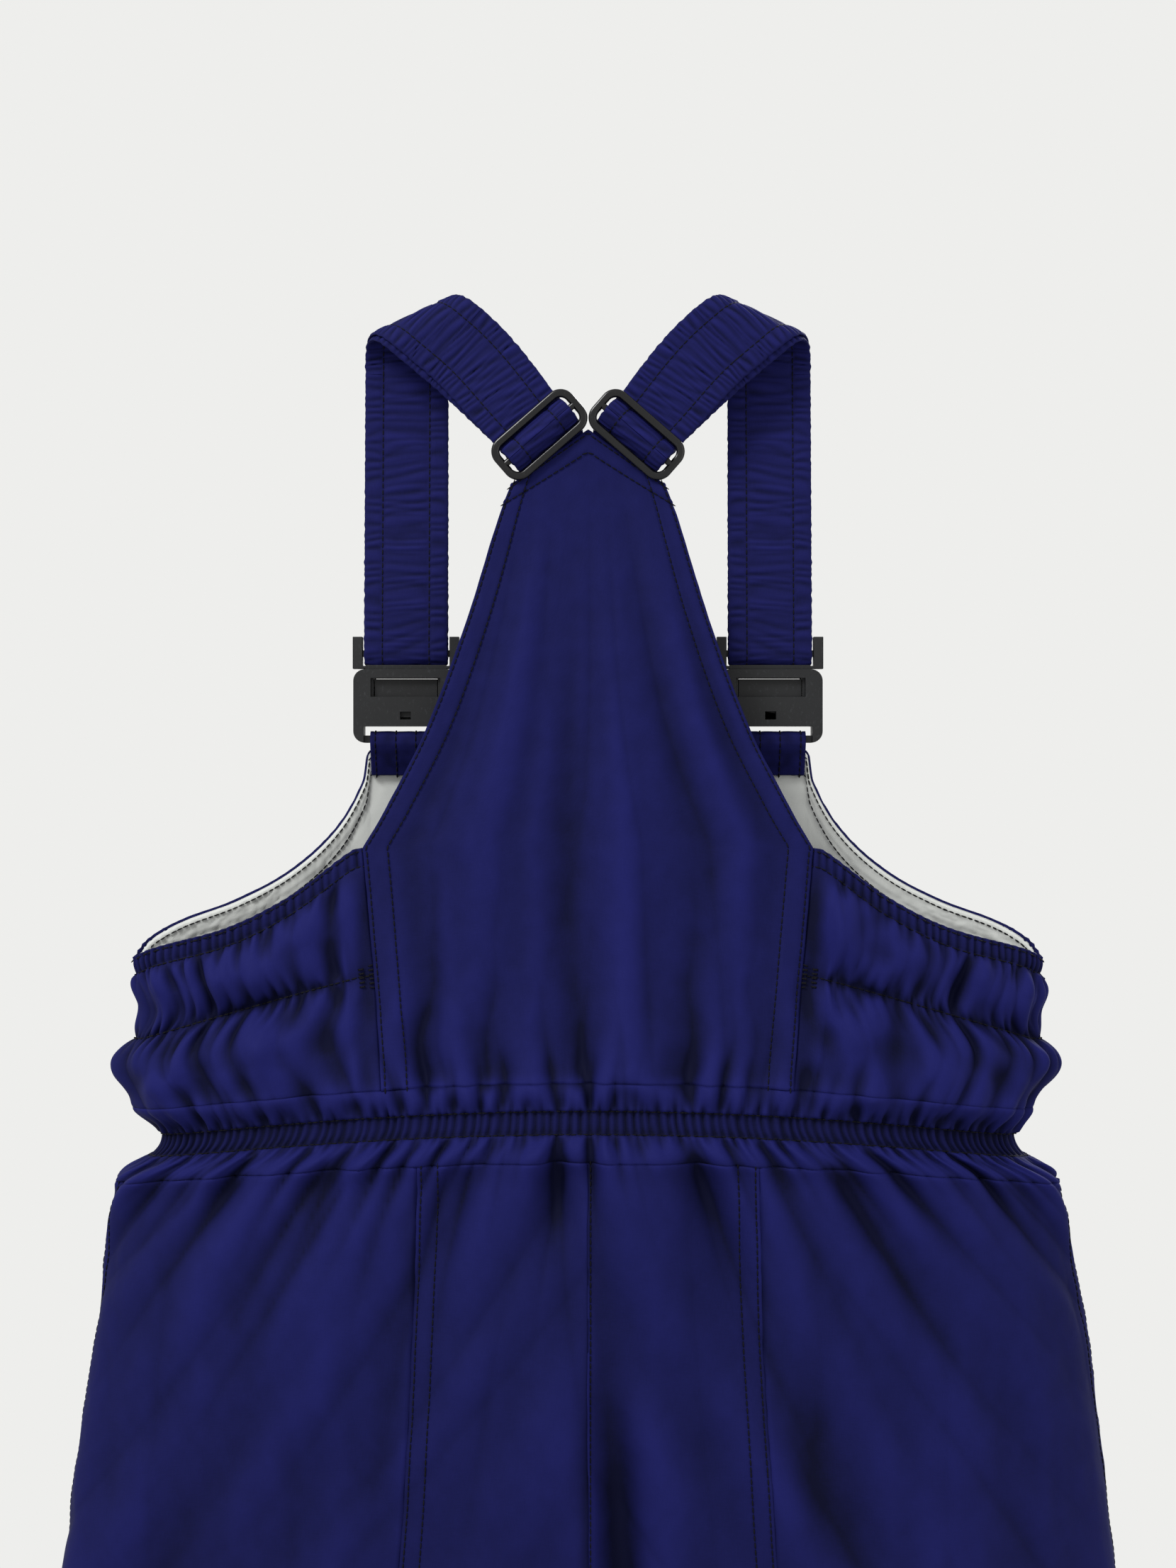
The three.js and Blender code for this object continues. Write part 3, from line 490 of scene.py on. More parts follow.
# ---------------------------------------------------------------- meshes
def mesh_piece(name: str, points: Array, faces: list, material: bpy.types.Material) -> bpy.types.Object:
    """Makes an object of a mesh.

    Args:
        name: the piece's name.
        points: its vertices, in millimetres.
        faces: its faces' corners.
        material: its finish.

    Returns:
        The object, smooth shaded, in the scene.
    """
    mesh = bpy.data.meshes.new(name)
    mesh.from_pydata((points.reshape(-1, 3) * MM).tolist(), [], faces)
    mesh.materials.append(material)
    mesh.shade_smooth()
    piece = bpy.data.objects.new(name, mesh)
    bpy.context.scene.collection.objects.link(piece)
    return piece


def grid_faces(rows: int, columns: int, flip: bool = False, around: bool = False) -> list:
    """The quads of a grid of points.

    Args:
        rows: rows of points.
        columns: points in each row.
        flip: turns each face round.
        around: joins the last column to the first.

    Returns:
        Four corners for each quad.
    """
    index = np.arange(rows * columns).reshape(rows, columns)
    if around:
        index = np.concatenate([index, index[:, :1]], axis=1)
    quads = spots(index[:-1, :-1], index[1:, :-1], index[1:, 1:], index[:-1, 1:]).reshape(-1, 4)
    return (quads[:, ::-1] if flip else quads).tolist()


def paint(piece: bpy.types.Object, uv: Array, crest: Array | None = None) -> None:
    """Gives a piece its UV map, in metres, and its crest attribute of painted shade and light.

    Args:
        piece: the piece, whose faces are as it was made.
        uv: one pair in millimetres for each vertex.
        crest: one number for each vertex, 0 in valleys and 1 on crests, which paints shade into the valleys
            and light onto the crests.
    """
    mesh = piece.data
    corners = np.zeros(len(mesh.loops), int)
    mesh.loops.foreach_get("vertex_index", corners)
    layer = mesh.uv_layers.new(name="UVMap")
    layer.data.foreach_set("uv", (uv.reshape(-1, 2)[corners] * MM).astype(np.float32).ravel())
    if crest is not None:
        attribute = mesh.attributes.new("crest", "FLOAT", "POINT")
        attribute.data.foreach_set("value", crest.astype(np.float32).ravel())


def seat(piece: bpy.types.Object, body: str, slot: str, *nodes: str) -> bpy.types.Object:
    """Attaches a piece to the body that it rides on, hides the CAD nodes that it stands for and logs the body.
    """
    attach(piece, body)
    if nodes:
        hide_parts(*nodes)
    log.info("%s rides on %s", piece.name, body)
    return piece


# ---------------------------------------------------------------- the garment's shape
@dataclass(frozen=True)
class Form:
    """The garment's hanging shape: an oval at each height, which divides into two legs."""

    yoke_apex: float = -48.0
    yoke_corner: tuple[float, float] = (33.0, -71.5)
    armhole_corner: tuple[float, float] = (95.0, -225.0)
    bib_top: float = -184.0
    waist_top: float = -324.0
    waist_middle: float = -340.0
    waist_bottom: float = -356.0
    fly_end: float = -500.0
    crotch: float = -635.0
    hem: float = -1365.0
    droop: float = 16.0
    droop_reach: float = 150.0
    leg_middle: float = 114.0
    leg_bend: float = 2.2
    chest: float = 198.0  # half the width above the waist
    bib_corner: float = 96.0  # where the bib's top edge ends
    waist_half: float = 188.0
    waist_depth: float = 50.0
    yoke_at_waist: float = 85.0
    front_top: float = 14.4
    front_slope: float = 0.1416
    half_width: Smooth = Smooth(
        (-48, 198), (-264, 198), (-284, 190), (-305, 200), (-324, 188), (-340, 186), (-356, 202),
        (-390, 212), (-425, 217), (-462, 221), (-536, 228), (-635, 228),
    )
    back_depth: Smooth = Smooth(
        (-48, 13.5), (-72, 14), (-150, 24), (-225, 34), (-275, 40), (-340, 50), (-400, 58), (-480, 64),
        (-560, 66), (-635, 64), (-800, 56), (-1000, 50), (-1200, 46), (-1365, 45),
    )
    leg_depth: Smooth = Smooth(
        (-500, 60), (-560, 64), (-635, 64), (-800, 56), (-1000, 50), (-1200, 46), (-1365, 45)
    )
    leg_half: Smooth = Smooth((-635, 114), (-700, 110), (-900, 106), (-1100, 103), (-1365, 101))
    leg_centre: Smooth = Smooth((-635, 114.15), (-700, 114), (-900, 112), (-1365, 110))
    yoke_edge: Smooth = Smooth((-71.5, 33), (-85, 38), (-131, 52), (-177, 69), (-210, 86), (-225, 95))
    princess: Smooth = Smooth((-356, 70), (-500, 76), (-635, 88), (-850, 103), (-1365, 110))
    side_top: Smooth = Smooth((95, -225), (100, -226), (127, -243), (154, -254), (188, -260), (198, -263))
    bib_armhole: Smooth = Smooth(
        (198, -263), (193, -257), (180, -251), (154, -244), (130, -233), (110, -216), (98, -196), (96, -184)
    )

    def oval(self, z: Array) -> tuple[Array, Array]:
        """The middle and half-width of the right side's oval at each height."""
        down = np.clip((self.waist_bottom - z) / (self.waist_bottom - self.crotch), 0, 1)
        seat_centre = (self.leg_middle + SEAM) * down**self.leg_bend
        centre = np.where(z > self.crotch, seat_centre, self.leg_centre(z))
        half = np.where(z > self.crotch, self.half_width(z) - seat_centre, self.leg_half(z))
        return centre, half

    def front_line(self, z: Array | float) -> Array | float:
        """How far forward the middle of the front is, on one straight slope down to the fly."""
        return self.front_top + self.front_slope * (self.bib_top - z)

    def front_depth(self, z: Array) -> Array:
        """The oval's depth in front, so that it meets that slope."""
        centre, half = self.oval(z)
        share = np.clip(centre / half, -0.99, 0.99)
        return np.where(z <= self.fly_end, self.leg_depth(z), self.front_line(z) / np.sqrt(1 - share**2))

    def depth(self, angle: Array, z: Array) -> Array:
        """The oval's depth on the side that an angle is on."""
        return np.where(np.cos(angle) > 0, self.back_depth(z), self.front_depth(z))

    def drop(self, x: Array, z: Array) -> Array:
        """How much lower the sides hang round the waist."""
        centre, half = self.oval(z)
        side = np.clip(x / (centre + half), -1, 1)
        return self.droop * side**2 * np.exp(-(((z - self.waist_middle) / self.droop_reach) ** 2))

    def point(self, angle: Array, z: Array, inset: float = 0.0) -> Array:
        """Points of the surface.

        Args:
            angle: 0 at the middle of the back, a quarter turn at the side.
            z: the height before the waist's droop.
            inset: how far inside the outer face.

        Returns:
            Points in millimetres, on the right side.
        """
        centre, half = self.oval(z)
        x = centre + (half - inset) * np.sin(angle)
        return spots(x, -(self.depth(angle, z) - inset) * np.cos(angle), z - self.drop(x, z))

    def outward(self, angle: Array, z: Array) -> Array:
        """The directions away from the garment's inside, level where its two halves meet."""
        centre, half = self.oval(z)
        x = np.sin(angle) / half
        near_middle = rise(0, 22, np.abs(centre + half * np.sin(angle)))
        meeting = rise(self.crotch - 70, self.crotch, z) * (x < 0)
        joined = 1 - meeting * (1 - near_middle)
        return unit(spots(x * joined, -np.cos(angle) / self.depth(angle, z), 0.0))

    def angle_at(self, x: Array, z: Array) -> Array:
        """The angle on the back at which the surface is x from the middle."""
        centre, half = self.oval(z)
        return np.arcsin(np.clip((x - centre) / half, -1, 1))

    def girth(self, x: Array, z: Array, angle: Array) -> Array:
        """How far round the waist each point's column is, from the middle of the back."""
        centre, half = self.oval(z)
        half_turn = np.linspace(0, math.pi, 721)
        run = np.hypot(self.waist_half * np.cos(half_turn), self.waist_depth * np.sin(half_turn))
        step = run * half_turn[1]
        turn = np.arcsin(np.clip(np.abs(x) / (centre + half), 0, 1))
        turn = np.where(np.abs(angle) > math.pi / 2, math.pi - turn, turn)
        return np.where(x < 0, -1, 1) * np.interp(turn, half_turn, np.cumsum(step) - step[0])

    def seam_x(self, z: Array) -> Array:
        """Where the yoke's side seam, or above it its armhole edge, is at a height."""
        corner_x, corner_z = self.armhole_corner
        share = np.clip((z - corner_z) / (self.waist_top - corner_z), 0, 1)
        return np.where(z > corner_z, self.yoke_edge(z), corner_x + (self.yoke_at_waist - corner_x) * share)


@dataclass(frozen=True)
class Folds:
    """Puffs, gathers and soft folds, as a height above the garment's smooth shape."""

    form: Form
    noise: Noise = field(default_factory=lambda: Noise(11))
    casing: float = 4.5  # half the height of the waist's gathered casing
    armhole_casing: float = 7.5
    pitches: tuple[float, ...] = (3.7, 6.6, 11.5, 19.0, 31.0, 52.0)

    def middle_row(self, x: Array) -> Array:
        """The height of the elastic row across each side panel."""
        return -277.6 - 18.0 * np.clip((x - 95) / 96, 0, 1)

    def ridges(self, s: Array, z: Array, pitch: float, loose: float = 1.0) -> Array:
        """Upright ridges with round crests and sharp valleys, evenly spaced but not quite regular.

        Args:
            s: how far round the garment each point is.
            z: its height.
            pitch: from one ridge to the next.
            loose: how far they are from regular.

        Returns:
            A height for each point, about 1 from valley to crest and 0 on average.
        """
        place = spots(s, 0.3 * z, 9.0 * pitch)
        wander = 0.8 * loose * pitch * self.noise(place, pitch * 2.7, pitch * 2.7, 1)
        size = 0.95 + 0.8 * loose * self.noise(place + 7, pitch * 1.6, pitch * 2.4, 1)
        return (np.abs(np.sin(np.pi * (s + wander) / pitch)) - 0.6) * np.clip(size, 0.15, 1.7)

    def gathers(self, s: Array, z: Array, distance: Array, longest: Array) -> Array:
        """Folds that start fine at an elastic row and merge into broader ones away from it.

        Args:
            s: how far round the garment each point is.
            z: its height.
            distance: how far each is from its nearest row.
            longest: the broadest folds that the cloth has room for.

        Returns:
            A height for each point.
        """
        total = np.zeros_like(s)
        for pitch in self.pitches:
            beyond = np.log((distance + 2.4) / (0.66 * pitch))
            reach = beyond / np.where(beyond > 0, 0.5 + 0.012 * pitch, 0.6)
            room = 1 - rise(0.8, 1.25, pitch / longest)
            total += 0.42 * pitch**0.78 * np.exp(-0.5 * reach**2) * room * self.ridges(s, z, pitch)
        return total

    def _side_puffs(self, x: Array, z: Array, p: Array, to_edge: Array, to_casing: Array) -> Array:
        """The side panels' swelling between their rows, in lumps."""
        over = z > self.middle_row(x)
        to_middle = np.abs(z - self.middle_row(x))
        upper = to_edge / (to_edge + to_middle + 1e-6)
        lower = to_middle / (to_middle + to_casing + 1e-6)
        swell = np.where(over, 6.5 * np.sin(np.pi * upper), 9.0 * np.sin(np.pi * lower) ** 0.8)
        lumps = 0.8 + 0.9 * self.noise(p, 30, 30, 44) + 0.35 * self.noise(p + 60, 13, 13, 20)
        return np.maximum(swell, 0) * np.clip(lumps, 0, 2)

    def _yoke(self, x: Array, z: Array, signed: Array, angle: Array) -> Array:
        """Long folds that fan out over the yoke from the waist towards the straps."""
        fan = signed / np.maximum(self.form.seam_x(z), 30) * 62
        fan_point = spots(fan, 0.0, z)
        on_yoke = (1 - rise(-7, 3, x - self.form.seam_x(z))) * rise(-330, -318, z) * (angle < np.pi / 2)
        soft = 3.4 * self.noise(fan_point, 19, 1, 300) + 1.4 * self.noise(fan_point + 31, 10, 1, 190)
        sharp = 2.0 * self.noise.billow(fan_point + 77, 26, 1, 360)
        return on_yoke * rise(-60, -200, z) * (soft + sharp) * (1 - rise(0.76, 0.99, np.abs(fan) / 62))

    def _legs(self, p: Array, z: Array, angle: Array) -> Array:
        """Folds that hang from the waist, some drawn outwards, and one deep one by the middle."""
        below = rise(-352, -415, z)
        low = 1 - rise(-680, -900, z)
        hang = 4.6 * self.noise(p + 40, 58, 58, 380) + 2.0 * self.noise(p + 90, 27, 27, 230)
        hang += 1.6 * self.noise.billow(p + 130, 70, 70, 420)
        drag = spots(p[..., 0] + z * 0.62 * np.sign(p[..., 0]), p[..., 1], z * 0.8)
        hang += low * (2.4 * self.noise(drag, 34, 50, 210) + 1.5 * self.noise.billow(drag + 20, 44, 60, 260))
        cross = spots(p[..., 0] * 0.5, p[..., 1], z - p[..., 0] * 0.35 * np.sign(p[..., 0]))
        knee = (1 - low) * 1.7 * self.noise.billow(cross, 90, 90, 62)
        hang += knee + 0.7 * self.noise(cross + 30, 42, 60, 30)

        across = p[..., 0] - 5 - 0.07 * (-440 - z)
        deep = rise(-405, -520, z) * (1 - rise(-640, -720, z)) * (angle < np.pi / 2)
        crease = -8.0 * hump(across, 4, 8.5) + 4.2 * hump(across, -13, 9) + 3.0 * hump(across, 24, 12)
        return below * hang + deep * crease

    def height(self, angle: Array, z: Array, p: Array, below_edge: Array | None = None) -> Array:
        """The folds' height.

        Args:
            angle: each point's angle round the garment.
            z: its height before the waist's droop.
            p: its place on the smooth surface, on its own side.
            below_edge: how far it is below the armhole's edge, on the panels that have one.

        Returns:
            A height in millimetres for each point.
        """
        x = np.abs(p[..., 0])
        s = self.form.girth(p[..., 0], z, angle)
        back = rise(math.radians(128), math.radians(88), angle)
        above = z > self.form.waist_middle
        to_casing = np.maximum(np.abs(z - self.form.waist_middle) - self.casing, 0)
        edge = below_edge if below_edge is not None else np.full_like(z, 300.0)
        to_edge = np.maximum(edge - self.armhole_casing, 0)
        beside = rise(0, 12, x - self.form.seam_x(z)) * rise(-336, -324, z)
        side_rows = np.minimum(np.abs(z - self.middle_row(x)), to_edge) + 300 * (1 - beside)
        rows = np.where(above, np.minimum(to_casing, side_rows), to_casing)
        longest = np.where(above, 24 + 14 * (1 - beside), 66.0)

        frill = hump(to_casing, 8, 7) * np.where(above, 2.6, 3.6)
        puff = beside * above * self._side_puffs(x, z, p, to_edge, to_casing)
        # below the waist the gathers fan out from the middle of the back and of the front towards the sides
        under = np.maximum(self.form.waist_middle - 8 - z, 0)
        all_round = float(self.form.girth(np.array(0.0), np.array(self.form.waist_middle), np.array(np.pi)))
        in_front = np.abs(angle) > np.pi / 2
        spread = 1 + 0.0045 * under
        from_front = all_round - (all_round - np.abs(s)) / spread
        fanned = np.where(in_front, from_front, np.abs(s) / spread) * np.sign(s)
        calm = 1 - hump(np.abs(angle), np.pi / 2, 0.17) * rise(0, 14, under)
        gather = self.gathers(fanned, z, rows, longest) * np.where(above, 1 - 0.1 * beside, 1.05 * calm)
        gather *= np.exp(-rows / 150)
        by_crotch = rise(self.form.crotch + 120, self.form.crotch + 20, z)
        legs_apart = 1 - by_crotch * (1 - rise(1, 26, x))
        total = (puff + frill + gather) * (0.15 + 0.85 * back)
        total += self._yoke(x, z, p[..., 0], angle) + self._legs(p, z, angle) * legs_apart

        placket = in_front * rise(self.form.fly_end - 60, self.form.fly_end - 12, z)
        total *= 1 - placket * (1 - rise(7, 38, x))
        in_casing = (to_casing <= 0) | (edge < self.armhole_casing)
        pulled = 1.5 * self.ridges(s, z, self.pitches[0], 0.45) * (0.2 + 0.8 * back) - 0.5
        crinkle = 0.35 * self.noise(p, 11, 11, 15) + 0.16 * self.noise(p + 9, 5.5, 5.5, 7)
        total = np.where(in_casing, pulled, total)
        return (total + crinkle) * (1 - by_crotch * (1 - rise(0, 10, x)))


@dataclass(frozen=True)
class Edging:
    """How a panel's edge is finished.

    Attributes:
        groove: how deep the seam pulls in.
        hem: how wide the cloth is turned in.
        stitches: the distances of its rows of stitches.
    """

    groove: float = 0.0
    hem: float = 0.0
    stitches: tuple[float, ...] = ()


PLAIN_SEAM = Edging(groove=0.4)
FELLED_SEAM = Edging(groove=0.3, stitches=(1.6, 8.4))
TURNED_HEM = Edging(hem=10.5, stitches=(1.6, 10.5))
LEG_HEM = Edging(hem=24, stitches=(2.0, 23.0))


class Panel:
    """A dense grid of cloth over the garment's shape, with folds, seams and hems."""

    def __init__(
        self,
        name: str,
        angle: Array,
        z: Array,
        side: Side,
        folds: Folds,
        edges: dict[Edge, Edging],
        inset: float = 0.0,
        armhole: bool = False,
    ) -> None:
        """Lays the grid out and shapes it.

        Args:
            name: the CAD node that it stands for.
            angle: rows of angles, from the panel's inner edge outwards and from its top down.
            z: the matching heights.
            side: the wearer's side that it is on.
            folds: the folds that it hangs in.
            edges: the edges that have a seam, a hem or stitches.
            inset: how far inside the outer face it lies.
            armhole: whether its top edge is an armhole's.
        """
        self.name = name
        self.side = side
        self.angle = angle
        self.z = z
        form = folds.form
        base = side.turn(form.point(angle, z, inset))
        self.distance = self._distances(base)
        below = self.distance[Edge.TOP] if armhole else None
        height = folds.height(np.abs(angle), z, side.turn(form.point(angle, z)), below)
        # crest is painted shade and light: each point's height above its blurred surroundings, so valleys are
        # painted darker and crests paler
        near, far = height - self._blurred(height, 5.0), height - self._blurred(height, 24.0)
        self.crest = np.clip(0.62 + 0.3 * near + 0.075 * far, 0, 1)
        for edge, edging in edges.items():
            away = self.distance[edge]
            pucker = folds.noise(base + 5, 8, 8, 8) * np.exp(-away / 7) * 0.35
            height = height + pucker * bool(edging.stitches) - edging.groove * hump(away, 0, 0.9)
            if edging.hem:
                height = height + 0.55 * (1 - rise(edging.hem - 0.4, edging.hem + 0.6, away))
            for row in edging.stitches:
                height = height - 0.34 * hump(away, row, 0.9)
        self.outward = side.turn(form.outward(angle, z))
        self.points = base + self.outward * height[..., None]

    def _distances(self, base: Array) -> dict[Edge, Array]:
        """How far each point is from each edge, along the grid's lines."""
        across = np.linalg.norm(np.diff(base, axis=1), axis=-1)
        down = np.linalg.norm(np.diff(base, axis=0), axis=-1)
        inner = np.pad(np.cumsum(across, axis=1), ((0, 0), (1, 0)))
        top = np.pad(np.cumsum(down, axis=0), ((1, 0), (0, 0)))
        outer, bottom = inner[:, -1:] - inner, top[-1:] - top
        return {Edge.INNER: inner, Edge.OUTER: outer, Edge.TOP: top, Edge.BOTTOM: bottom}

    def _blurred(self, height: Array, reach: float) -> Array:
        """The heights, evened out over a reach in millimetres."""
        for axis, edge in ((0, Edge.TOP), (1, Edge.INNER)) * 2:
            step = self.distance[edge].max() / height.shape[axis]
            half = min(max(1, int(reach / step)), height.shape[axis] // 2)
            ends = [(half + 1, half) if axis == k else (0, 0) for k in (0, 1)]
            total = np.cumsum(np.pad(height, ends, mode="edge"), axis=axis)
            window = 2 * half + 1
            ahead, behind = np.split(total, [window], axis=axis)[1], np.split(total, [-window], axis=axis)[0]
            height = (ahead - behind) / window
        return height

    def piece(self, material: bpy.types.Material, thickness: float) -> bpy.types.Object:
        """The panel as a solid piece.

        Args:
            material: its cloth.
            thickness: its thickness in millimetres, inwards.

        Returns:
            The object.
        """
        rows, columns = self.z.shape
        faces = grid_faces(rows, columns, flip=self.side is Side.LEFT)
        made = mesh_piece(self.name + "_cloth", self.points, faces, material)
        paint(made, spots(self.distance[Edge.INNER], self.distance[Edge.TOP]), self.crest)
        solid = made.modifiers.new("thickness", "SOLIDIFY")
        solid.thickness = thickness * MM
        solid.offset = -1
        return made

    def flat(self, fullness: float) -> tuple[tuple[float, float], float]:
        """The size that the panel was cut to.

        Args:
            fullness: how much wider it was cut than it hangs.

        Returns:
            Its width and length, and its area, in metres.
        """
        across, down = self.distance[Edge.INNER], self.distance[Edge.TOP]
        width = float(across[:, -1].max()) * fullness
        length = float(down[-1].max())
        area = float((np.diff(across, axis=1)[:-1] * np.diff(down, axis=0)[:, :-1]).sum()) * fullness
        return (width * MM, length * MM), area * MM * MM

    def along(self, edge: Edge, away: float, lift: float = 0.2) -> Trail:
        """A line that keeps its distance from one edge.

        Args:
            edge: the edge that it follows.
            away: its distance from there.
            lift: how far it stands off the cloth.

        Returns:
            The line's points.
        """
        vertical = edge in (Edge.INNER, Edge.OUTER)
        return self.level(self.distance[edge], away, vertical, lift)

    def level(self, values: Array, level: float, by_rows: bool, lift: float = 0.2) -> Trail:
        """The line on which a quantity has one value.

        Args:
            values: the quantity at each point, which rises or falls steadily along each row or column.
            level: the value to follow.
            by_rows: whether there is one crossing in each row, or one in each column.
            lift: how far it stands off the cloth.

        Returns:
            The line's points.
        """
        stand = self.points + self.outward * lift
        grid = values if by_rows else values.T
        spots = stand if by_rows else stand.transpose(1, 0, 2)
        trail = []
        for row, spot in zip(grid, spots):
            ahead = row - level
            crossing = np.nonzero(ahead[:-1] * ahead[1:] <= 0)[0]
            if len(crossing):
                i = int(crossing[0])
                t = ahead[i] / (ahead[i] - ahead[i + 1]) if ahead[i] != ahead[i + 1] else 0.0
                trail.append(spot[i] * (1 - t) + spot[i + 1] * t)
        return np.array(trail)


# ---------------------------------------------------------------- repeated things
@dataclass(frozen=True)
class Row:
    """Small rounded things set out evenly along lines: stitches, coil turns or grip ribs.

    Attributes:
        pitch: from one to the next, in millimetres.
        size: along the line, and its two sizes across it.
    """

    pitch: float
    size: tuple[float, float, float]

    def tree(self) -> bpy.types.NodeTree:
        """Builds the node tree, with Pitch, Size and Material as its inputs."""
        tree = bpy.data.node_groups.new("row_of_bead", "GeometryNodeTree")
        face = tree.interface
        face.new_socket("Lines", in_out="INPUT", socket_type="NodeSocketGeometry")
        for name, kind in (("Pitch", "Float"), ("Size", "Vector"), ("Material", "Material")):
            face.new_socket(name, in_out="INPUT", socket_type="NodeSocket" + kind)
        face.new_socket("Pieces", in_out="OUTPUT", socket_type="NodeSocketGeometry")
        given, out = tree.nodes.new("NodeGroupInput"), tree.nodes.new("NodeGroupOutput")
        curve = tree.nodes.new("GeometryNodeMeshToCurve")
        even = tree.nodes.new("GeometryNodeResampleCurve")
        even.mode = "LENGTH"
        heading = tree.nodes.new("GeometryNodeInputTangent")
        turn = tree.nodes.new("FunctionNodeAlignRotationToVector")
        turn.axis = "X"
        thing = tree.nodes.new("GeometryNodeMeshUVSphere")
        for key, setting in (("Radius", 0.5), ("Segments", 6), ("Rings", 4)):
            thing.inputs[key].default_value = setting
        place = tree.nodes.new("GeometryNodeInstanceOnPoints")
        solid = tree.nodes.new("GeometryNodeRealizeInstances")
        dress = tree.nodes.new("GeometryNodeSetMaterial")
        for source, target in (
            (given.outputs["Lines"], curve.inputs["Mesh"]),
            (curve.outputs["Curve"], even.inputs["Curve"]),
            (given.outputs["Pitch"], even.inputs["Length"]),
            (even.outputs["Curve"], place.inputs["Points"]),
            (heading.outputs["Tangent"], turn.inputs["Vector"]),
            (turn.outputs["Rotation"], place.inputs["Rotation"]),
            (thing.outputs["Mesh"], place.inputs["Instance"]),
            (given.outputs["Size"], place.inputs["Scale"]),
            (place.outputs["Instances"], solid.inputs["Geometry"]),
            (solid.outputs["Geometry"], dress.inputs["Geometry"]),
            (given.outputs["Material"], dress.inputs["Material"]),
            (dress.outputs["Geometry"], out.inputs["Pieces"]),
        ):
            tree.links.new(source, target)
        return tree

    def piece(self, name: str, trails: Sequence[Trail], material: bpy.types.Material) -> bpy.types.Object:
        """Sets the row out along each trail.

        Args:
            name: the piece's name.
            trails: lines of points, in millimetres.
            material: the finish of each repeat.

        Returns:
            One object that holds them all as a plain mesh.
        """
        kept = [trail for trail in trails if len(trail) > 1]
        starts = np.cumsum([0] + [len(trail) for trail in kept])
        links = [(i, i + 1) for a, b in zip(starts[:-1], starts[1:]) for i in range(a, b - 1)]
        mesh = bpy.data.meshes.new(name)
        mesh.from_pydata((np.concatenate(kept) * MM).tolist(), links, [])
        piece = bpy.data.objects.new(name, mesh)
        bpy.context.scene.collection.objects.link(piece)
        rule = piece.modifiers.new("row", "NODES")
        rule.node_group = self.tree()
        sockets = rule.node_group.interface.items_tree
        inputs = {item.name: item.identifier for item in sockets if item.in_out == "INPUT"}
        rule[inputs["Pitch"]] = self.pitch * MM
        rule[inputs["Size"]] = tuple(size * MM for size in self.size)
        rule[inputs["Material"]] = material
        settle(piece)
        piece.data.shade_smooth()
        return piece


STITCH = Row(2.9, (2.8, 0.85, 0.6))
LATCH_RIB = Row(1.7, (0.9, 0.7, 18.0))
COIL_TURN = Row(1.15, (1.0, 2.2, 2.5))


def settle(piece: bpy.types.Object) -> None:
    """Turns what a piece's modifiers make into its plain mesh."""
    made = piece.evaluated_get(bpy.context.evaluated_depsgraph_get())
    mesh = bpy.data.meshes.new_from_object(made)
    piece.modifiers.clear()
    piece.data = mesh


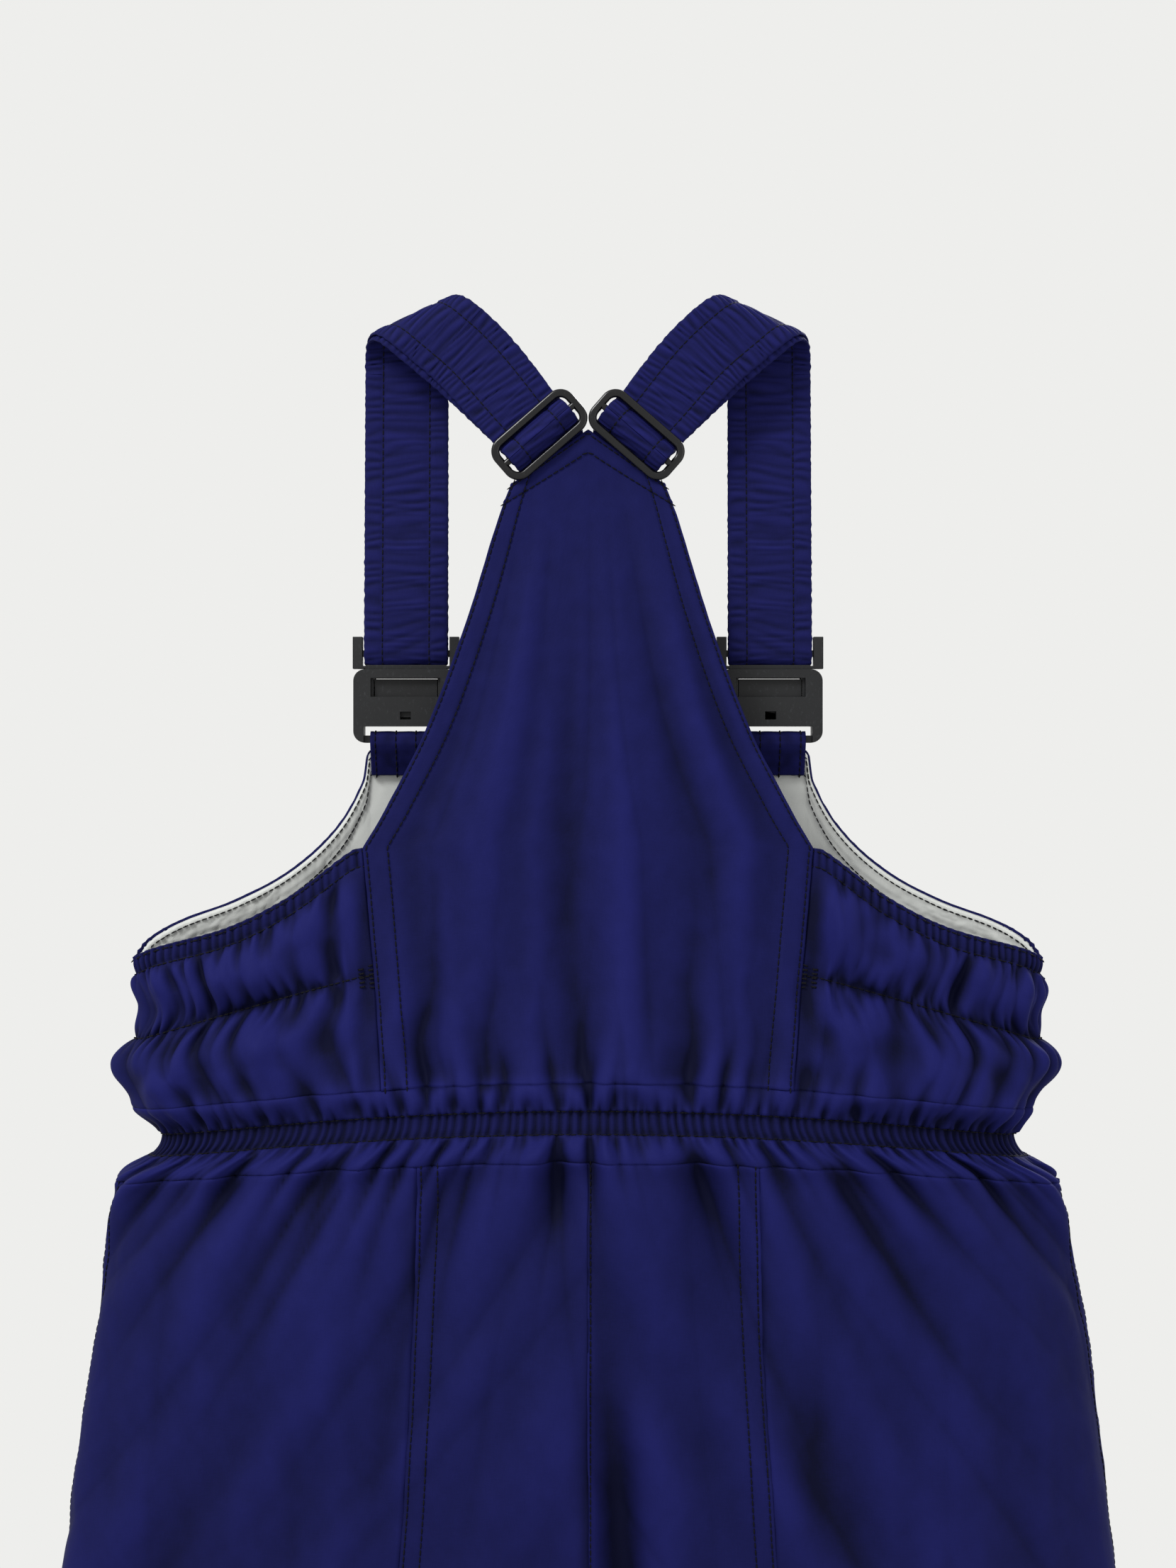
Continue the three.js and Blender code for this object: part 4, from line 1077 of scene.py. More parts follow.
# ---------------------------------------------------------------- shell, linings and gaiters
@dataclass
class Shell:
    """The garment's cloth: yoke, sides, bib, waistband, legs, and what lies inside them."""

    palette: Palette
    form: Form
    thickness: float = 0.9
    lining: float = 0.6
    elastic: float = 0.8
    gaiter: float = 0.8
    lining_inset: float = 1.5
    lining_step: float = 1.1  # how far the shell's edge shows above the lining's
    facing_turn: float = 32.0  # how near the middle the front's columns start to follow the zip
    zip_opening: float = 5.15
    facing_edge: float = 14.3
    stitches: list[Trail] = field(default_factory=list)

    def __post_init__(self) -> None:
        """Sets up the folds."""
        self.folds = Folds(self.form)

    def _cloth(self, panel: Panel, fullness: float, held: str = "hung", use: str = "shell") -> None:
        """Args:
            panel: the panel.
            fullness: how much wider it was cut than it hangs.
            held: what holds it, hung or gathered; not used.
            use: shell, lining or gaiter.
        """
        layer = "lining" if use == "lining" else "shell"
        thickness = {"shell": self.thickness, "lining": self.lining, "gaiter": self.gaiter}[use]
        piece = panel.piece(getattr(self.palette, layer), thickness)
        seat(piece, "garment", f"{layer}_cloth", panel.name)
        flat, area = panel.flat(fullness)

    def _stretch(self, panel: Panel) -> None:
        """Makes a band of elastic."""
        seat(panel.piece(self.palette.elastic, self.elastic), "garment", "elastic_web", panel.name)

    def _sew(self, panel: Panel, edges: dict[Edge, Edging]) -> None:
        """Adds the rows of stitches along a panel's edges."""
        for edge, edging in edges.items():
            self.stitches += [panel.along(edge, away) for away in edging.stitches]

    def yoke(self) -> None:
        """The racer back, from the straps to the waist."""
        form = self.form
        (corner_x, corner_z), (_, seam_z) = form.yoke_corner, form.armhole_corner
        share = np.linspace(-1, 1, 190)
        above, below = np.linspace(corner_z, seam_z, 120), np.linspace(seam_z, form.waist_top, 80)
        edge = np.concatenate([above, below[1:]])
        peak = (form.yoke_apex - corner_z) * (1 - np.abs(share))
        left = np.clip((edge - seam_z) / (corner_z - seam_z), 0, 1)
        z = edge[:, None] + peak * left[:, None]
        angle = form.angle_at(share * form.seam_x(edge)[:, None], z)
        edges = {
            Edge.INNER: TURNED_HEM, Edge.OUTER: TURNED_HEM, Edge.TOP: Edging(hem=9.5, stitches=(1.8, 9.5)),
            Edge.BOTTOM: PLAIN_SEAM,
        }
        panel = Panel("back_yoke_panel", angle, z, Side.RIGHT, self.folds, edges)
        self._cloth(panel, 1.05)
        self._sew(panel, edges)

    def side_panels(self, side: Side) -> None:
        """The gathered panel between yoke and side seam, with its armhole elastic."""
        form = self.form
        share = np.linspace(0, 1, 176)
        row = np.linspace(0, 1, 112)[:, None]
        start = math.asin(form.armhole_corner[0] / form.chest)
        top = form.side_top(form.chest * np.sin(start + (math.pi / 2 - start) * share))
        z = top + (form.waist_top - top) * row
        first = form.angle_at(form.seam_x(np.minimum(z, form.armhole_corner[1])), z)
        angle = first + (math.pi / 2 - first) * share
        edges = {Edge.INNER: PLAIN_SEAM, Edge.OUTER: PLAIN_SEAM, Edge.TOP: Edging(stitches=(1.4, 7.8)),
                 Edge.BOTTOM: PLAIN_SEAM}
        panel = Panel(f"side_panel_{side.letter}", angle, z, side, self.folds, edges, armhole=True)
        self._cloth(panel, 1.25, "gathered")
        self._sew(panel, edges)
        x = np.abs(panel.points[..., 0])
        self.stitches.append(panel.level(z - self.folds.middle_row(x), 0.0, False))
        self._bar_tack(panel)
        z = (top - np.array([2.0, 4.5, 7.0])[:, None])[:, 4:-4:2]
        name = f"armhole_elastic_{side.letter}"
        self._stretch(Panel(name, angle[:3, 4:-4:2], z, side, self.folds, {}, 3.4, True))

    def _bar_tack(self, panel: Panel) -> None:
        """The zigzag that fastens the elastic row's inner end to the yoke's seam."""
        column = 3
        row = int(np.argmin(np.abs(panel.z[:, column] - self.folds.middle_row(np.array(96.0)))))
        spots = [
            panel.points[row + shift, column + side] + panel.outward[row, column] * 0.6
            for shift, side in zip(range(-5, 6), itertools.cycle((-2, 2)))
        ]
        self.stitches += [np.array(spots[i:i + 2]) for i in range(len(spots) - 1)]

    def back_waistband(self) -> None:
        """The gathered band round the back, its casing's two rows and the elastic inside."""
        form = self.form
        angle = np.linspace(-math.pi / 2, math.pi / 2, 660)[None, :]
        z = np.linspace(form.waist_top, form.waist_bottom, 37)[:, None]
        angle, z = np.broadcast_arrays(angle, z)
        edges = {Edge.TOP: PLAIN_SEAM, Edge.BOTTOM: PLAIN_SEAM}
        panel = Panel("back_waistband", angle, z, Side.RIGHT, self.folds, edges)
        self._cloth(panel, 1.3, "gathered")
        for step in (-1, 1):
            row = form.waist_middle + step * (self.folds.casing + 0.2)
            self.stitches.append(panel.level(z, row, False, 0.3))
        band = np.linspace(form.waist_middle + 3.4, form.waist_middle - 3.4, 5)[:, None]
        elastic_angle, band = np.broadcast_arrays(angle[:1, 2:-2:2], band)
        self._stretch(Panel("waist_elastic", elastic_angle, band, Side.RIGHT, self.folds, {}, 2.9))

    def _bib_columns(self, centre: float, count: int) -> tuple[Array, Array]:
        """The x and the top edge of each of the bib's columns, evenly along that edge."""
        form = self.form
        armhole = np.linspace(form.chest, form.bib_corner, 400)
        x = np.concatenate([armhole, np.linspace(form.bib_corner, centre, 200)[1:]])
        top = np.where(x > form.bib_corner, form.bib_armhole(x), form.bib_top)
        run = np.pad(np.cumsum(np.hypot(np.diff(x), np.diff(top))), (1, 0))
        even = np.linspace(0, run[-1], count)
        return np.interp(even, run, x), np.interp(even, run, top)

    def _front_angle(self, x: Array, z: Array, centre: float) -> Array:
        """The angle of a front column, which turns to follow the zip near the middle."""
        chest, turn = self.form.chest, self.facing_turn
        angle = np.pi - np.arcsin(x / chest) + 0 * z
        follow = np.pi - self.form.angle_at(centre + 0 * z, z)
        beside = np.pi - np.arcsin(turn / chest)
        near = np.clip((turn - x) / (turn - centre), 0, 1)
        return np.where(x < turn, beside + (follow - beside) * near, angle)

    def front(self, side: Side) -> None:
        """One half of the bib with its lining, and one half of the front waistband."""
        form, letter = self.form, side.letter
        top_edge = Edging(hem=10, stitches=(1.6, 9.6))
        placket = Edging(stitches=(1.8, 9.0))
        down = np.linspace(0, 1, 84)[:, None]

        edges = {Edge.INNER: PLAIN_SEAM, Edge.OUTER: placket, Edge.TOP: top_edge, Edge.BOTTOM: PLAIN_SEAM}
        x, top = self._bib_columns(self.zip_opening, 160)
        z = top + (form.waist_top - top) * down
        angle = self._front_angle(x, z, self.zip_opening)
        bib = Panel(f"front_bib_{letter}", angle, z, side, self.folds, edges, 0.0, True)
        self._sew(bib, edges)
        self._cloth(bib, 1.04)

        edges[Edge.OUTER] = Edging()
        x, top = self._bib_columns(self.facing_edge, 160)
        top = top - self.lining_step
        z = top + (form.waist_top - top) * down
        angle = self._front_angle(x, z, self.facing_edge)
        lining = Panel(f"front_lining_{letter}", angle, z, side, self.folds, edges, self.lining_inset, True)
        self._face(lining, x)
        self._cloth(lining, 1.04, use="lining")

        seam = Edging(groove=0.4, stitches=(1.6,))
        edges = {Edge.INNER: PLAIN_SEAM, Edge.OUTER: placket, Edge.TOP: seam, Edge.BOTTOM: seam}
        x, _ = self._bib_columns(self.zip_opening, 150)
        z = np.linspace(form.waist_top, form.waist_bottom, 24)[:, None] + 0 * x
        angle = self._front_angle(x, z, self.zip_opening)
        band = Panel(f"front_waistband_{letter}", angle, z, side, self.folds, edges)
        self._cloth(band, 1.04)
        self._sew(band, edges)

    def _face(self, lining: Panel, x: Array) -> None:
        """Gives a bib lining its facing along the armhole, a raised, gathered border on its inner side."""
        away = lining.distance[Edge.TOP]
        border = (0.9 - 0.9 * rise(9.4, 10.4, away)) * rise(0, 0.8, away)
        pull = 0.5 * self.folds.noise.billow(lining.points, 3.0, 3.0, 3.0) * rise(120, 150, x)
        lining.points = lining.points - lining.outward * (border * (1 + pull))[..., None]
        self.stitches += [lining.along(Edge.TOP, away, -(self.lining + 0.15)) for away in (2.0, 9.8)]

    def _leg_angles(self, part: str, share: Array, z: Array, centre: float) -> Array:
        """The angle of a leg panel's column: inner and outer back, or front."""
        form = self.form
        inner = np.maximum(form.angle_at(0 * z - SEAM, z), -np.pi / 2 + SEAM / form.leg_depth(z))
        princess = form.angle_at(form.princess(z), z)
        if part == "inner":
            return inner + (princess - inner) * share
        if part == "outer":
            return princess + (np.pi / 2 - princess) * share
        width = np.clip(centre + (SEAM - centre) * (form.fly_end - z) / 8, SEAM, centre)
        end = np.pi - np.maximum(form.angle_at(width, z), -np.pi / 2 + SEAM / form.leg_depth(z))
        return np.pi / 2 + (end - np.pi / 2) * share

    def _leg_rows(self) -> Array:
        """Heights down the leg, close together where its folds are fine."""
        form, hips = self.form, -420
        above, seat_rows = np.linspace(form.waist_bottom, hips, 52), np.linspace(hips, form.crotch, 110)
        return np.concatenate([above, seat_rows[1:], np.linspace(form.crotch, form.hem, 200)[1:]])[:, None]

    def leg(self, side: Side) -> None:
        """One leg's three panels."""
        z = self._leg_rows()
        back_seam = Edging(0.3, 0, (1.2,) if side is Side.RIGHT else ())
        front_seam = Edging(0.3, 0, (1.8,))
        for name, part, columns, fullness, inner, outer in (
            ("back_leg_inner", "inner", 84, 1.1, back_seam, FELLED_SEAM),
            ("back_leg_outer", "outer", 120, 1.1, PLAIN_SEAM, FELLED_SEAM),
            ("front_leg", "front", 150, 1.03, PLAIN_SEAM, front_seam),
        ):
            edges = {Edge.INNER: inner, Edge.OUTER: outer, Edge.TOP: PLAIN_SEAM, Edge.BOTTOM: LEG_HEM}
            angle = self._leg_angles(part, np.linspace(0, 1, columns), z, self.zip_opening)
            heights = np.broadcast_to(z, angle.shape)
            panel = Panel(f"{name}_{side.letter}", angle, heights, side, self.folds, edges)
            self._cloth(panel, fullness)
            self._sew(panel, edges)

    def _all_round(self, name: str, z: Array, inset: Array, side: Side, edges: dict[Edge, Edging]) -> Panel:
        """A layer all round inside one leg, with its ends at the inseam."""
        share, parts = np.linspace(0, 1, 44), ("inner", "outer", "front")
        around = [self._leg_angles(part, share, z, self.facing_edge) for part in parts]
        angle = np.concatenate([around[0], around[1][:, 1:], around[2][:, 1:]], axis=1)
        heights = np.broadcast_to(z, angle.shape)
        panel = Panel(f"{name}_{side.letter}", angle, heights, side, self.folds, edges)
        panel.points = panel.points - panel.outward * inset[..., None]
        return panel

    def inside_leg(self, side: Side) -> None:
        """One leg's lining, its snow gaiter and the gaiter's elastic."""
        lining_end, gaiter_top, gaiter_end = -1200, -1180, -1335

        def taper(z: Array) -> Array:
            """How far inside the leg's outer face the gaiter is."""
            return 2.9 + 14 * (gaiter_top - z) / 155

        z = np.linspace(self.form.waist_bottom - 7, lining_end, 190)[:, None]
        inset = 1.9 + 3.5 * (1 - rise(0, 50, self.form.waist_bottom - z))
        lining = self._all_round("leg_lining", z, inset, side, {Edge.BOTTOM: Edging(hem=12)})
        self._cloth(lining, 1.0, use="lining")
        z = np.linspace(gaiter_top, gaiter_end, 60)[:, None]
        gaiter = self._all_round("gaiter", z, taper(z), side, {Edge.BOTTOM: Edging(hem=20, stitches=(2, 19))})
        gathered = self.folds.noise.billow(gaiter.points, 5, 5, 40) * rise(-1285, -1325, z) * 1.4
        gaiter.points = gaiter.points - gaiter.outward * gathered[..., None]
        self._cloth(gaiter, 1.1, use="gaiter")
        z = np.linspace(-1317, -1334, 5)[:, None]
        self._stretch(self._all_round("gaiter_elastic", z, taper(z) + 2.6, side, {}))

    def build(self) -> None:
        """Makes every panel and sews it."""
        self.yoke()
        self.back_waistband()
        for side in Side:
            self.side_panels(side)
            self.front(side)
            self.leg(side)
            self.inside_leg(side)
        split = -480.0
        upper = [trail[trail[:, 2] >= split] for trail in self.stitches]
        lower = [trail[trail[:, 2] < split] for trail in self.stitches]
        for name, trails in (("bib_stitches", upper), ("leg_stitches", lower)):
            seat(STITCH.piece(name, trails, self.palette.thread), "garment", "shell_cloth")


# ---------------------------------------------------------------- straps
@dataclass
class Run:
    """A stretch of strap, one station after another.

    Attributes:
        length: where each station is along the whole strap, for gathers that go on from piece to piece.
        width: the strap's width there.
        at: turns offsets across and heights above the strap's middle into points.
        layer: which of the two layers it belongs to, as a place in the noise.
        flip: -1 where its upper face is the other one.
        ridge: how high the gathers stand, and how long they are.
    """

    length: Array
    width: Array
    at: Callable[[Array, Array], Array]
    layer: Array
    flip: Array
    ridge: tuple[float, float]


@dataclass
class Straps:
    """The shirred elastic shoulder straps, each folded over at the shoulder and doubled back."""

    palette: Palette
    width: float = 36.4
    thickness: float = 1.6
    front_x: float = 79.5
    crest_radius: float = 8.7
    slope: float = math.radians(25)
    crest_run: float = 9.0
    crossbar: tuple[float, float, float] = (2.8, 3.0, -143.0)
    buckle_y: float = 6.0
    ring_width: float = 34.0
    ring_angle: float = math.radians(41)
    ring_centre: tuple[float, float, float] = (20.8, -16.1, -50.5)
    ring_bar: float = 1.8
    ring_middle_bar: float = 1.5
    ring_spacing: float = 8.7
    channel: float = 0.56  # where the rows of stitches are, as a share of the half-width
    step: float = 0.6
    noise: Noise = field(default_factory=lambda: Noise(23))

    def __post_init__(self) -> None:
        """Works out the directions of the bar and of the ring."""
        cos, sin = math.cos(self.slope), math.sin(self.slope)
        self.along = np.array([-cos, 0, sin])
        self.upward = np.array([sin, 0, cos])
        self.wrap = math.pi / 2 - self.slope
        self.inner = self.crest_radius + self.thickness / 2
        self.outer = self.inner + self.thickness + GAP
        advance = self.inner * math.pi / 2 / math.tan(self.wrap)
        self.start = np.array([
            self.front_x, 0, -advance * self.along[2] - self.crest_radius * self.upward[2]
        ])
        cos, sin = math.cos(self.ring_angle), math.sin(self.ring_angle)
        self.down = np.array([-sin, 0, -cos])
        self.across = np.array([cos, 0, -sin])
        self.middle = np.array(self.ring_centre)

    def folded(self, radius: float, length: Array, offset: Array, height: Array) -> Array:
        """Points of a strap that is folded over the sloping bar.

        Args:
            radius: from the bar's middle to the strap's.
            length: along the strap from where it meets the bar in front.
            offset: across the strap.
            height: above the strap's middle surface.

        Returns:
            The points.
        """
        turn = length * math.sin(self.wrap) + offset * math.cos(self.wrap)
        slide = length * math.cos(self.wrap) - offset * math.sin(self.wrap)
        angle = np.clip(turn / radius, 0, math.pi)
        out = radius + height
        lift = out * np.sin(angle) + np.minimum(turn, 0) - np.maximum(turn - math.pi * radius, 0)
        level = np.array([0.0, 1.0, 0.0])
        return (self.start + self.along * slide[..., None] + self.upward * lift[..., None]
                + level * (out * np.cos(angle))[..., None])

    def crest_end(self, radius: float) -> float:
        """The length at which a crest piece ends."""
        return math.pi * radius / math.sin(self.wrap) + self.crest_run

    def crest(self, radius: float, layer: float) -> Run:
        """The stretch over the bar."""
        end = self.crest_end(radius)
        length = np.linspace(-self.crest_run - 0.5, end + 0.5, int((end + 10) / self.step))

        def at(offset: Array, height: Array) -> Array:
            """A point on the wrapped strap."""
            return self.folded(radius, length[:, None] + 0 * offset, offset, height)

        same = np.ones_like(length)
        return Run(length, same * self.width, at, same * layer, same, (0.85, 2.9))

    def framed(self, keys: Array, across: Array, widths: Array) -> tuple[Array, Array, Callable]:
        """Evenly spaced stations along a smooth line through key points.

        Args:
            keys: the line's key points.
            across: the strap's crosswise direction at each.
            widths: its width at each.

        Returns:
            The distance of each station from the first, its width, and the placing function.
        """
        chord = np.pad(np.cumsum(np.linalg.norm(np.diff(keys, axis=0), axis=1)), (1, 0))
        span = np.linspace(0, chord[-1], int(chord[-1] / self.step) + 2)
        smooth = [Smooth(*zip(chord, column)) for column in np.column_stack([keys, across, widths]).T]
        middle = np.stack([smooth[k](span) for k in range(3)], axis=-1)
        side = unit(np.stack([smooth[k](span) for k in range(3, 6)], axis=-1))
        tangent = unit(np.gradient(middle, axis=0))
        side = unit(side - tangent * (side * tangent).sum(-1, keepdims=True))
        normal = np.cross(tangent, side)

        def at(offset: Array, height: Array) -> Array:
            """A point beside and above the line."""
            return middle[:, None] + side[:, None] * offset[..., None] + normal[:, None] * height[..., None]

        return span, smooth[6](span), at

    def front(self) -> Run:
        """The front run: down inside, round the tongue's crossbar and up outside."""
        bar_height, bar_depth, bar_z = self.crossbar
        turn = math.hypot(bar_height, bar_depth) / 2 + GAP + self.thickness / 2
        top = self.start[2] - self.crest_run
        legs = np.linspace(0, 1, 9)[:-1]
        reach = bar_z - top
        inside, outside = self.buckle_y - turn - self.inner, self.buckle_y + turn - self.outer
        down = [(self.inner + inside * t, top + reach * t) for t in legs]
        angles = np.linspace(math.pi, 2 * math.pi, 9)
        around = [(self.buckle_y + turn * math.cos(a), bar_z + (turn + 1.5) * math.sin(a)) for a in angles]
        up = [(self.outer + outside * t, top + reach * t) for t in legs[::-1]]
        keys = np.array([(self.front_x, y, z) for y, z in down + around + up])
        sideways = np.tile([1.0, 0, 0], (len(keys), 1))
        span, width, at = self.framed(keys, sideways, np.full(len(keys), self.width))
        first_half = span < span[-1] / 2
        length = -self.crest_run - np.where(first_half, span, span[-1] - span)
        layer = 31.0 - 31.0 * rise(span[-1] / 2 - 5, span[-1] / 2 + 5, span)
        return Run(length, width, at, layer, np.where(first_half, -1.0, 1.0), (0.62, 4.3))

    def _back_keys(self, radius: float, depth: float) -> tuple[list[Array], list[Array], list[float]]:
        """Key points from a crest's end to just above the ring, with directions and widths."""
        end = self.crest_end(radius)
        edge = [self.folded(radius, np.array(end + d), np.array(0.0), np.array(0.0)) for d in (0.0, 10.0)]
        heading = unit(edge[1] - edge[0])
        goal = self.middle - self.down * (self.ring_spacing + 3)
        goal[1] = depth
        reach = np.linalg.norm(goal - edge[0]) / 3
        control = [edge[0], edge[0] + heading * reach, goal - self.down * reach, goal]
        keys, across, widths = [], [], []
        for t in np.linspace(0, 1, 9):
            s = 1 - t
            weights = (s**3, 3 * s * s * t, 3 * s * t * t, t**3)
            keys.append(sum(w * c for w, c in zip(weights, control)))
            slope = (3 * s * s, 6 * s * t, 3 * t * t)
            tangent = sum(w * (b - a) for w, a, b in zip(slope, control[:-1], control[1:]))
            across.append(unit(np.cross([0.0, -1.0, 0.0], tangent)))
            if across[-1] @ self.across < 0:
                across[-1] = -across[-1]
            widths.append(self.width + (self.ring_width - self.width) * t**3)
        return keys, across, widths

    def _ring_point(self, q: float, h: float) -> Array:
        """A point q down the strap from the ring's middle bar and h outwards."""
        return self.middle + self.down * q - np.array([0, h, 0])

    def _to_ring(self, keys: list, across: list, widths: list) -> tuple[Array, Array, Array]:
        """Key points, directions and widths as arrays, with the ring's own for the points that have none."""
        rest = len(keys) - len(across)
        across, widths = across + [self.across] * rest, widths + [self.ring_width] * rest
        return np.array(keys), np.array(across), np.array(widths)

    def running(self) -> tuple[Run, Run]:
        """The outer back run: to the top of its hump in the ring, and on to inside the yoke."""
        bar = self.ring_bar + self.thickness / 2 + 2 * GAP
        over = self.ring_middle_bar + self.thickness * 1.5 + 2 * GAP
        keys, across, widths = self._back_keys(self.outer, self.middle[1] + bar)
        tilt = math.asin((bar + over) / self.ring_spacing)
        for a in np.linspace(0, tilt, 4):
            keys.append(self._ring_point(-self.ring_spacing + bar * math.sin(a), -bar * math.cos(a)))
        for a in np.linspace(tilt, 0, 5):
            keys.append(self._ring_point(-over * math.sin(a), over * math.cos(a)))
        first = self._to_ring(keys, across, widths)
        behind = -self.middle[1] - 13.5 + 1.2 + GAP * 2 + self.thickness / 2
        tail = [self._ring_point(-over * math.sin(a), over * math.cos(a)) for a in np.linspace(0, -tilt, 5)]
        for q, h in ((-1.2, 1.2), (0.8, 0.0), (5.0, 0.0)):
            tail.append(self._ring_point(self.ring_spacing + q, -behind + h))
        second = np.array(tail), np.tile(self.across, (len(tail), 1)), np.array([34.0] * 5 + [33.5, 32, 28])
        begin = self.crest_end(self.outer)
        runs = []
        for part in (first, second):
            span, width, at = self.framed(*part)
            same = np.ones_like(span)
            runs.append(Run(begin + span, width, at, same * 0.0, same, (0.85, 2.9)))
            begin += span[-1]
        return runs[0], runs[1]

    def returning(self) -> Run:
        """The inner back run, and its loop round the ring's middle bar."""
        bar = self.ring_bar + self.thickness / 2 + 2 * GAP
        loop = self.ring_middle_bar + self.thickness / 2 + GAP
        depth = bar + self.thickness + GAP
        keys, across, widths = self._back_keys(self.inner, self.middle[1] + depth)
        keys.append(self._ring_point(-self.ring_spacing + 1, -depth))
        for a in np.linspace(-math.pi / 2, math.pi / 2, 8):
            keys.append(self._ring_point(loop * math.cos(a), loop * math.sin(a)))
        span, width, at = self.framed(*self._to_ring(keys, across, widths))
        same = np.ones_like(span)
        return Run(self.crest_end(self.inner) + span, width, at, same * 31.0, same, (0.8, 2.9))

    def _height(self, v: Array) -> Array:
        """Half the strap's thickness: three soft channels between its edges and rows of stitches."""
        a = np.abs(v)
        middle = np.sqrt(np.clip(1 - (a / self.channel) ** 4, 0, 1))
        border = (a - (1 + self.channel) / 2) / ((1 - self.channel) / 2)
        outer = np.sqrt(np.clip(1 - np.abs(border) ** 4, 0, 1))
        return 0.42 * np.sqrt(np.clip(1 - a**12, 0, 1)) + 0.42 * np.where(a < self.channel, middle, outer)

    def _gathers(self, run: Run, v: Array, face: Array) -> Array:
        """How far the gathers stand up at each point of a strap's section."""
        high, pitch = run.ridge
        offset = v * (run.width / 2)[:, None]
        layer = (run.layer[:, None] + 9 * face * run.flip[:, None]) + 0 * v
        inner = np.abs(v) < self.channel

        def ribs(spacing: float, slant: float, shift: float) -> Array:
            """Ribs across the strap, which lean and wander."""
            place = spots(run.length[:, None] + shift + 0 * v, offset * 0.35, layer)
            along = place[..., 0] + slant * offset + 0.9 * spacing * self.noise(place, spacing * 2.2, 9, 1)
            size = np.clip(0.95 + 0.9 * self.noise(place + 5, spacing * 1.7, 5, 1), 0.2, 1.7)
            return (np.abs(np.sin(math.pi * along / spacing)) - 0.55) * size

        border = ribs(pitch, 0.05, 40 * np.sign(v))
        middle = 0.62 * ribs(pitch * 1.5, 0.16, 9) + 0.5 * ribs(pitch * 0.9, 0.1, 77)
        stitched = hump(np.abs(v), self.channel, 0.045)
        shown = np.clip(1 - np.abs(v) ** 14, 0, 1) * (1 - 0.8 * stitched)
        return high * shown * np.where(inner, middle, border)

    def piece(self, name: str, side: Side, run: Run, trim: tuple[float, float]) -> list[bpy.types.Object]:
        """Makes a stretch of strap and its stitches.

        Args:
            name: its name without the side.
            side: the wearer's side.
            run: its stations.
            trim: how far its stitches stop short of each end.

        Returns:
            The strap's piece and its stitches' piece.
        """
        spread = np.sin(np.linspace(-math.pi / 2, math.pi / 2, 33))
        v = np.concatenate([spread, spread[-2:0:-1]])[None, :] + 0 * run.length[:, None]
        face = np.where(np.arange(v.shape[1]) < 33, 1.0, -1.0) + 0 * v
        ruffle = self.noise(spots(run.length[:, None], 5 * np.sign(v), 0.0), 2.4, 1, 1)
        offset = v * (run.width / 2)[:, None] + 0.4 * ruffle * np.sign(v) * np.abs(v) ** 8
        gathers = self._gathers(run, v, face)
        points = side.turn(run.at(offset, face * (self._height(v) + gathers)))
        rows, columns = v.shape
        faces = grid_faces(rows, columns, side is Side.RIGHT, True)
        ends = [list(range(columns)), list(range((rows - 1) * columns, rows * columns))]
        ends[1 if side is Side.LEFT else 0].reverse()
        strap = mesh_piece(f"{name}_webbing_{side.letter}", points, faces + ends, self.palette.strap)
        outward_faces(strap)
        strap.data.set_sharp_from_angle(angle=1.3)
        around = np.cumsum(np.pad(np.linalg.norm(np.diff(points[0], axis=0), axis=1), (1, 0)))
        # the crest attribute from the gathers' height paints shade into their valleys and light onto their
        # ridges
        paint(strap, spots(around[None, :], run.length[:, None]), np.clip(0.5 + gathers * 0.75, 0, 1))
        seam = np.array([[-self.channel, self.channel] * 2]) + 0 * run.length[:, None]
        facing = np.array([[1.0, 1.0, -1.0, -1.0]]) + 0 * seam
        lift = self._height(seam) + 0.1 + self._gathers(run, seam, facing) * 0.4
        rows_at = side.turn(run.at(seam * (run.width / 2)[:, None], facing * lift))
        first, last = (int(t / self.step) for t in trim)
        trails = [rows_at[first:len(rows_at) - last, k] for k in range(4)]
        thread = STITCH.piece(f"{name}_stitches_{side.letter}", trails, self.palette.thread)
        return [strap, thread]

    def build(self) -> None:
        """Makes both straps, puts the stretches without a bend on the garment and logs the bodies listed for
        each.
        """
        near_ring = self.middle - self.down * 14
        far = self.folded(self.outer, np.array(self.crest_end(self.outer)), np.array(0.0), np.array(0.0))
        for side in Side:
            letter = side.letter
            tongue, ring = f"tongue_{letter}", f"ring_{letter}"
            ring_start, ring_end = (tuple(side.turn(p) * MM) for p in (far, near_ring))
            low_start = tuple(side.turn(self.middle) * MM)
            low_end = tuple(side.turn(self.middle + self.down * 9) * MM)
            upper, lower = self.running()
            stretches = (
                ("strap_front", self.front(), ("garment", tongue, (0, 0, -0.022), (0, 0, -0.134)), (0, 0)),
                ("strap_crest_outer", self.crest(self.outer, 0.0), None, (0, 0)),
                ("strap_crest_inner", self.crest(self.inner, 31.0), None, (0, 0)),
                ("strap_back_running", upper, ("garment", ring, ring_start, ring_end), (0, 0)),
                ("strap_sewn_end", lower, (ring, "garment", low_start, low_end), (0, 3)),
                ("strap_back_return", self.returning(), ("garment", ring, ring_start, ring_end), (0, 4)),
            )
            for name, run, bend, trim in stretches:
                strap, thread = self.piece(name, side, run, trim)
                for piece in (strap, thread):
                    if bend:
                        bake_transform(piece)
                    else:
                        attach(piece, "garment")
                    log.info("%s follows %s", piece.name, f"{bend[0]} and {bend[1]}" if bend else "garment")
                if run is not lower:
                    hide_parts(f"{name}_{letter}")


def outward_faces(piece: bpy.types.Object) -> None:
    """Turns the faces of a closed piece outwards."""
    shape = bmesh.new()
    shape.from_mesh(piece.data)
    bmesh.ops.recalc_face_normals(shape, faces=shape.faces)
    shape.to_mesh(piece.data)
    shape.free()


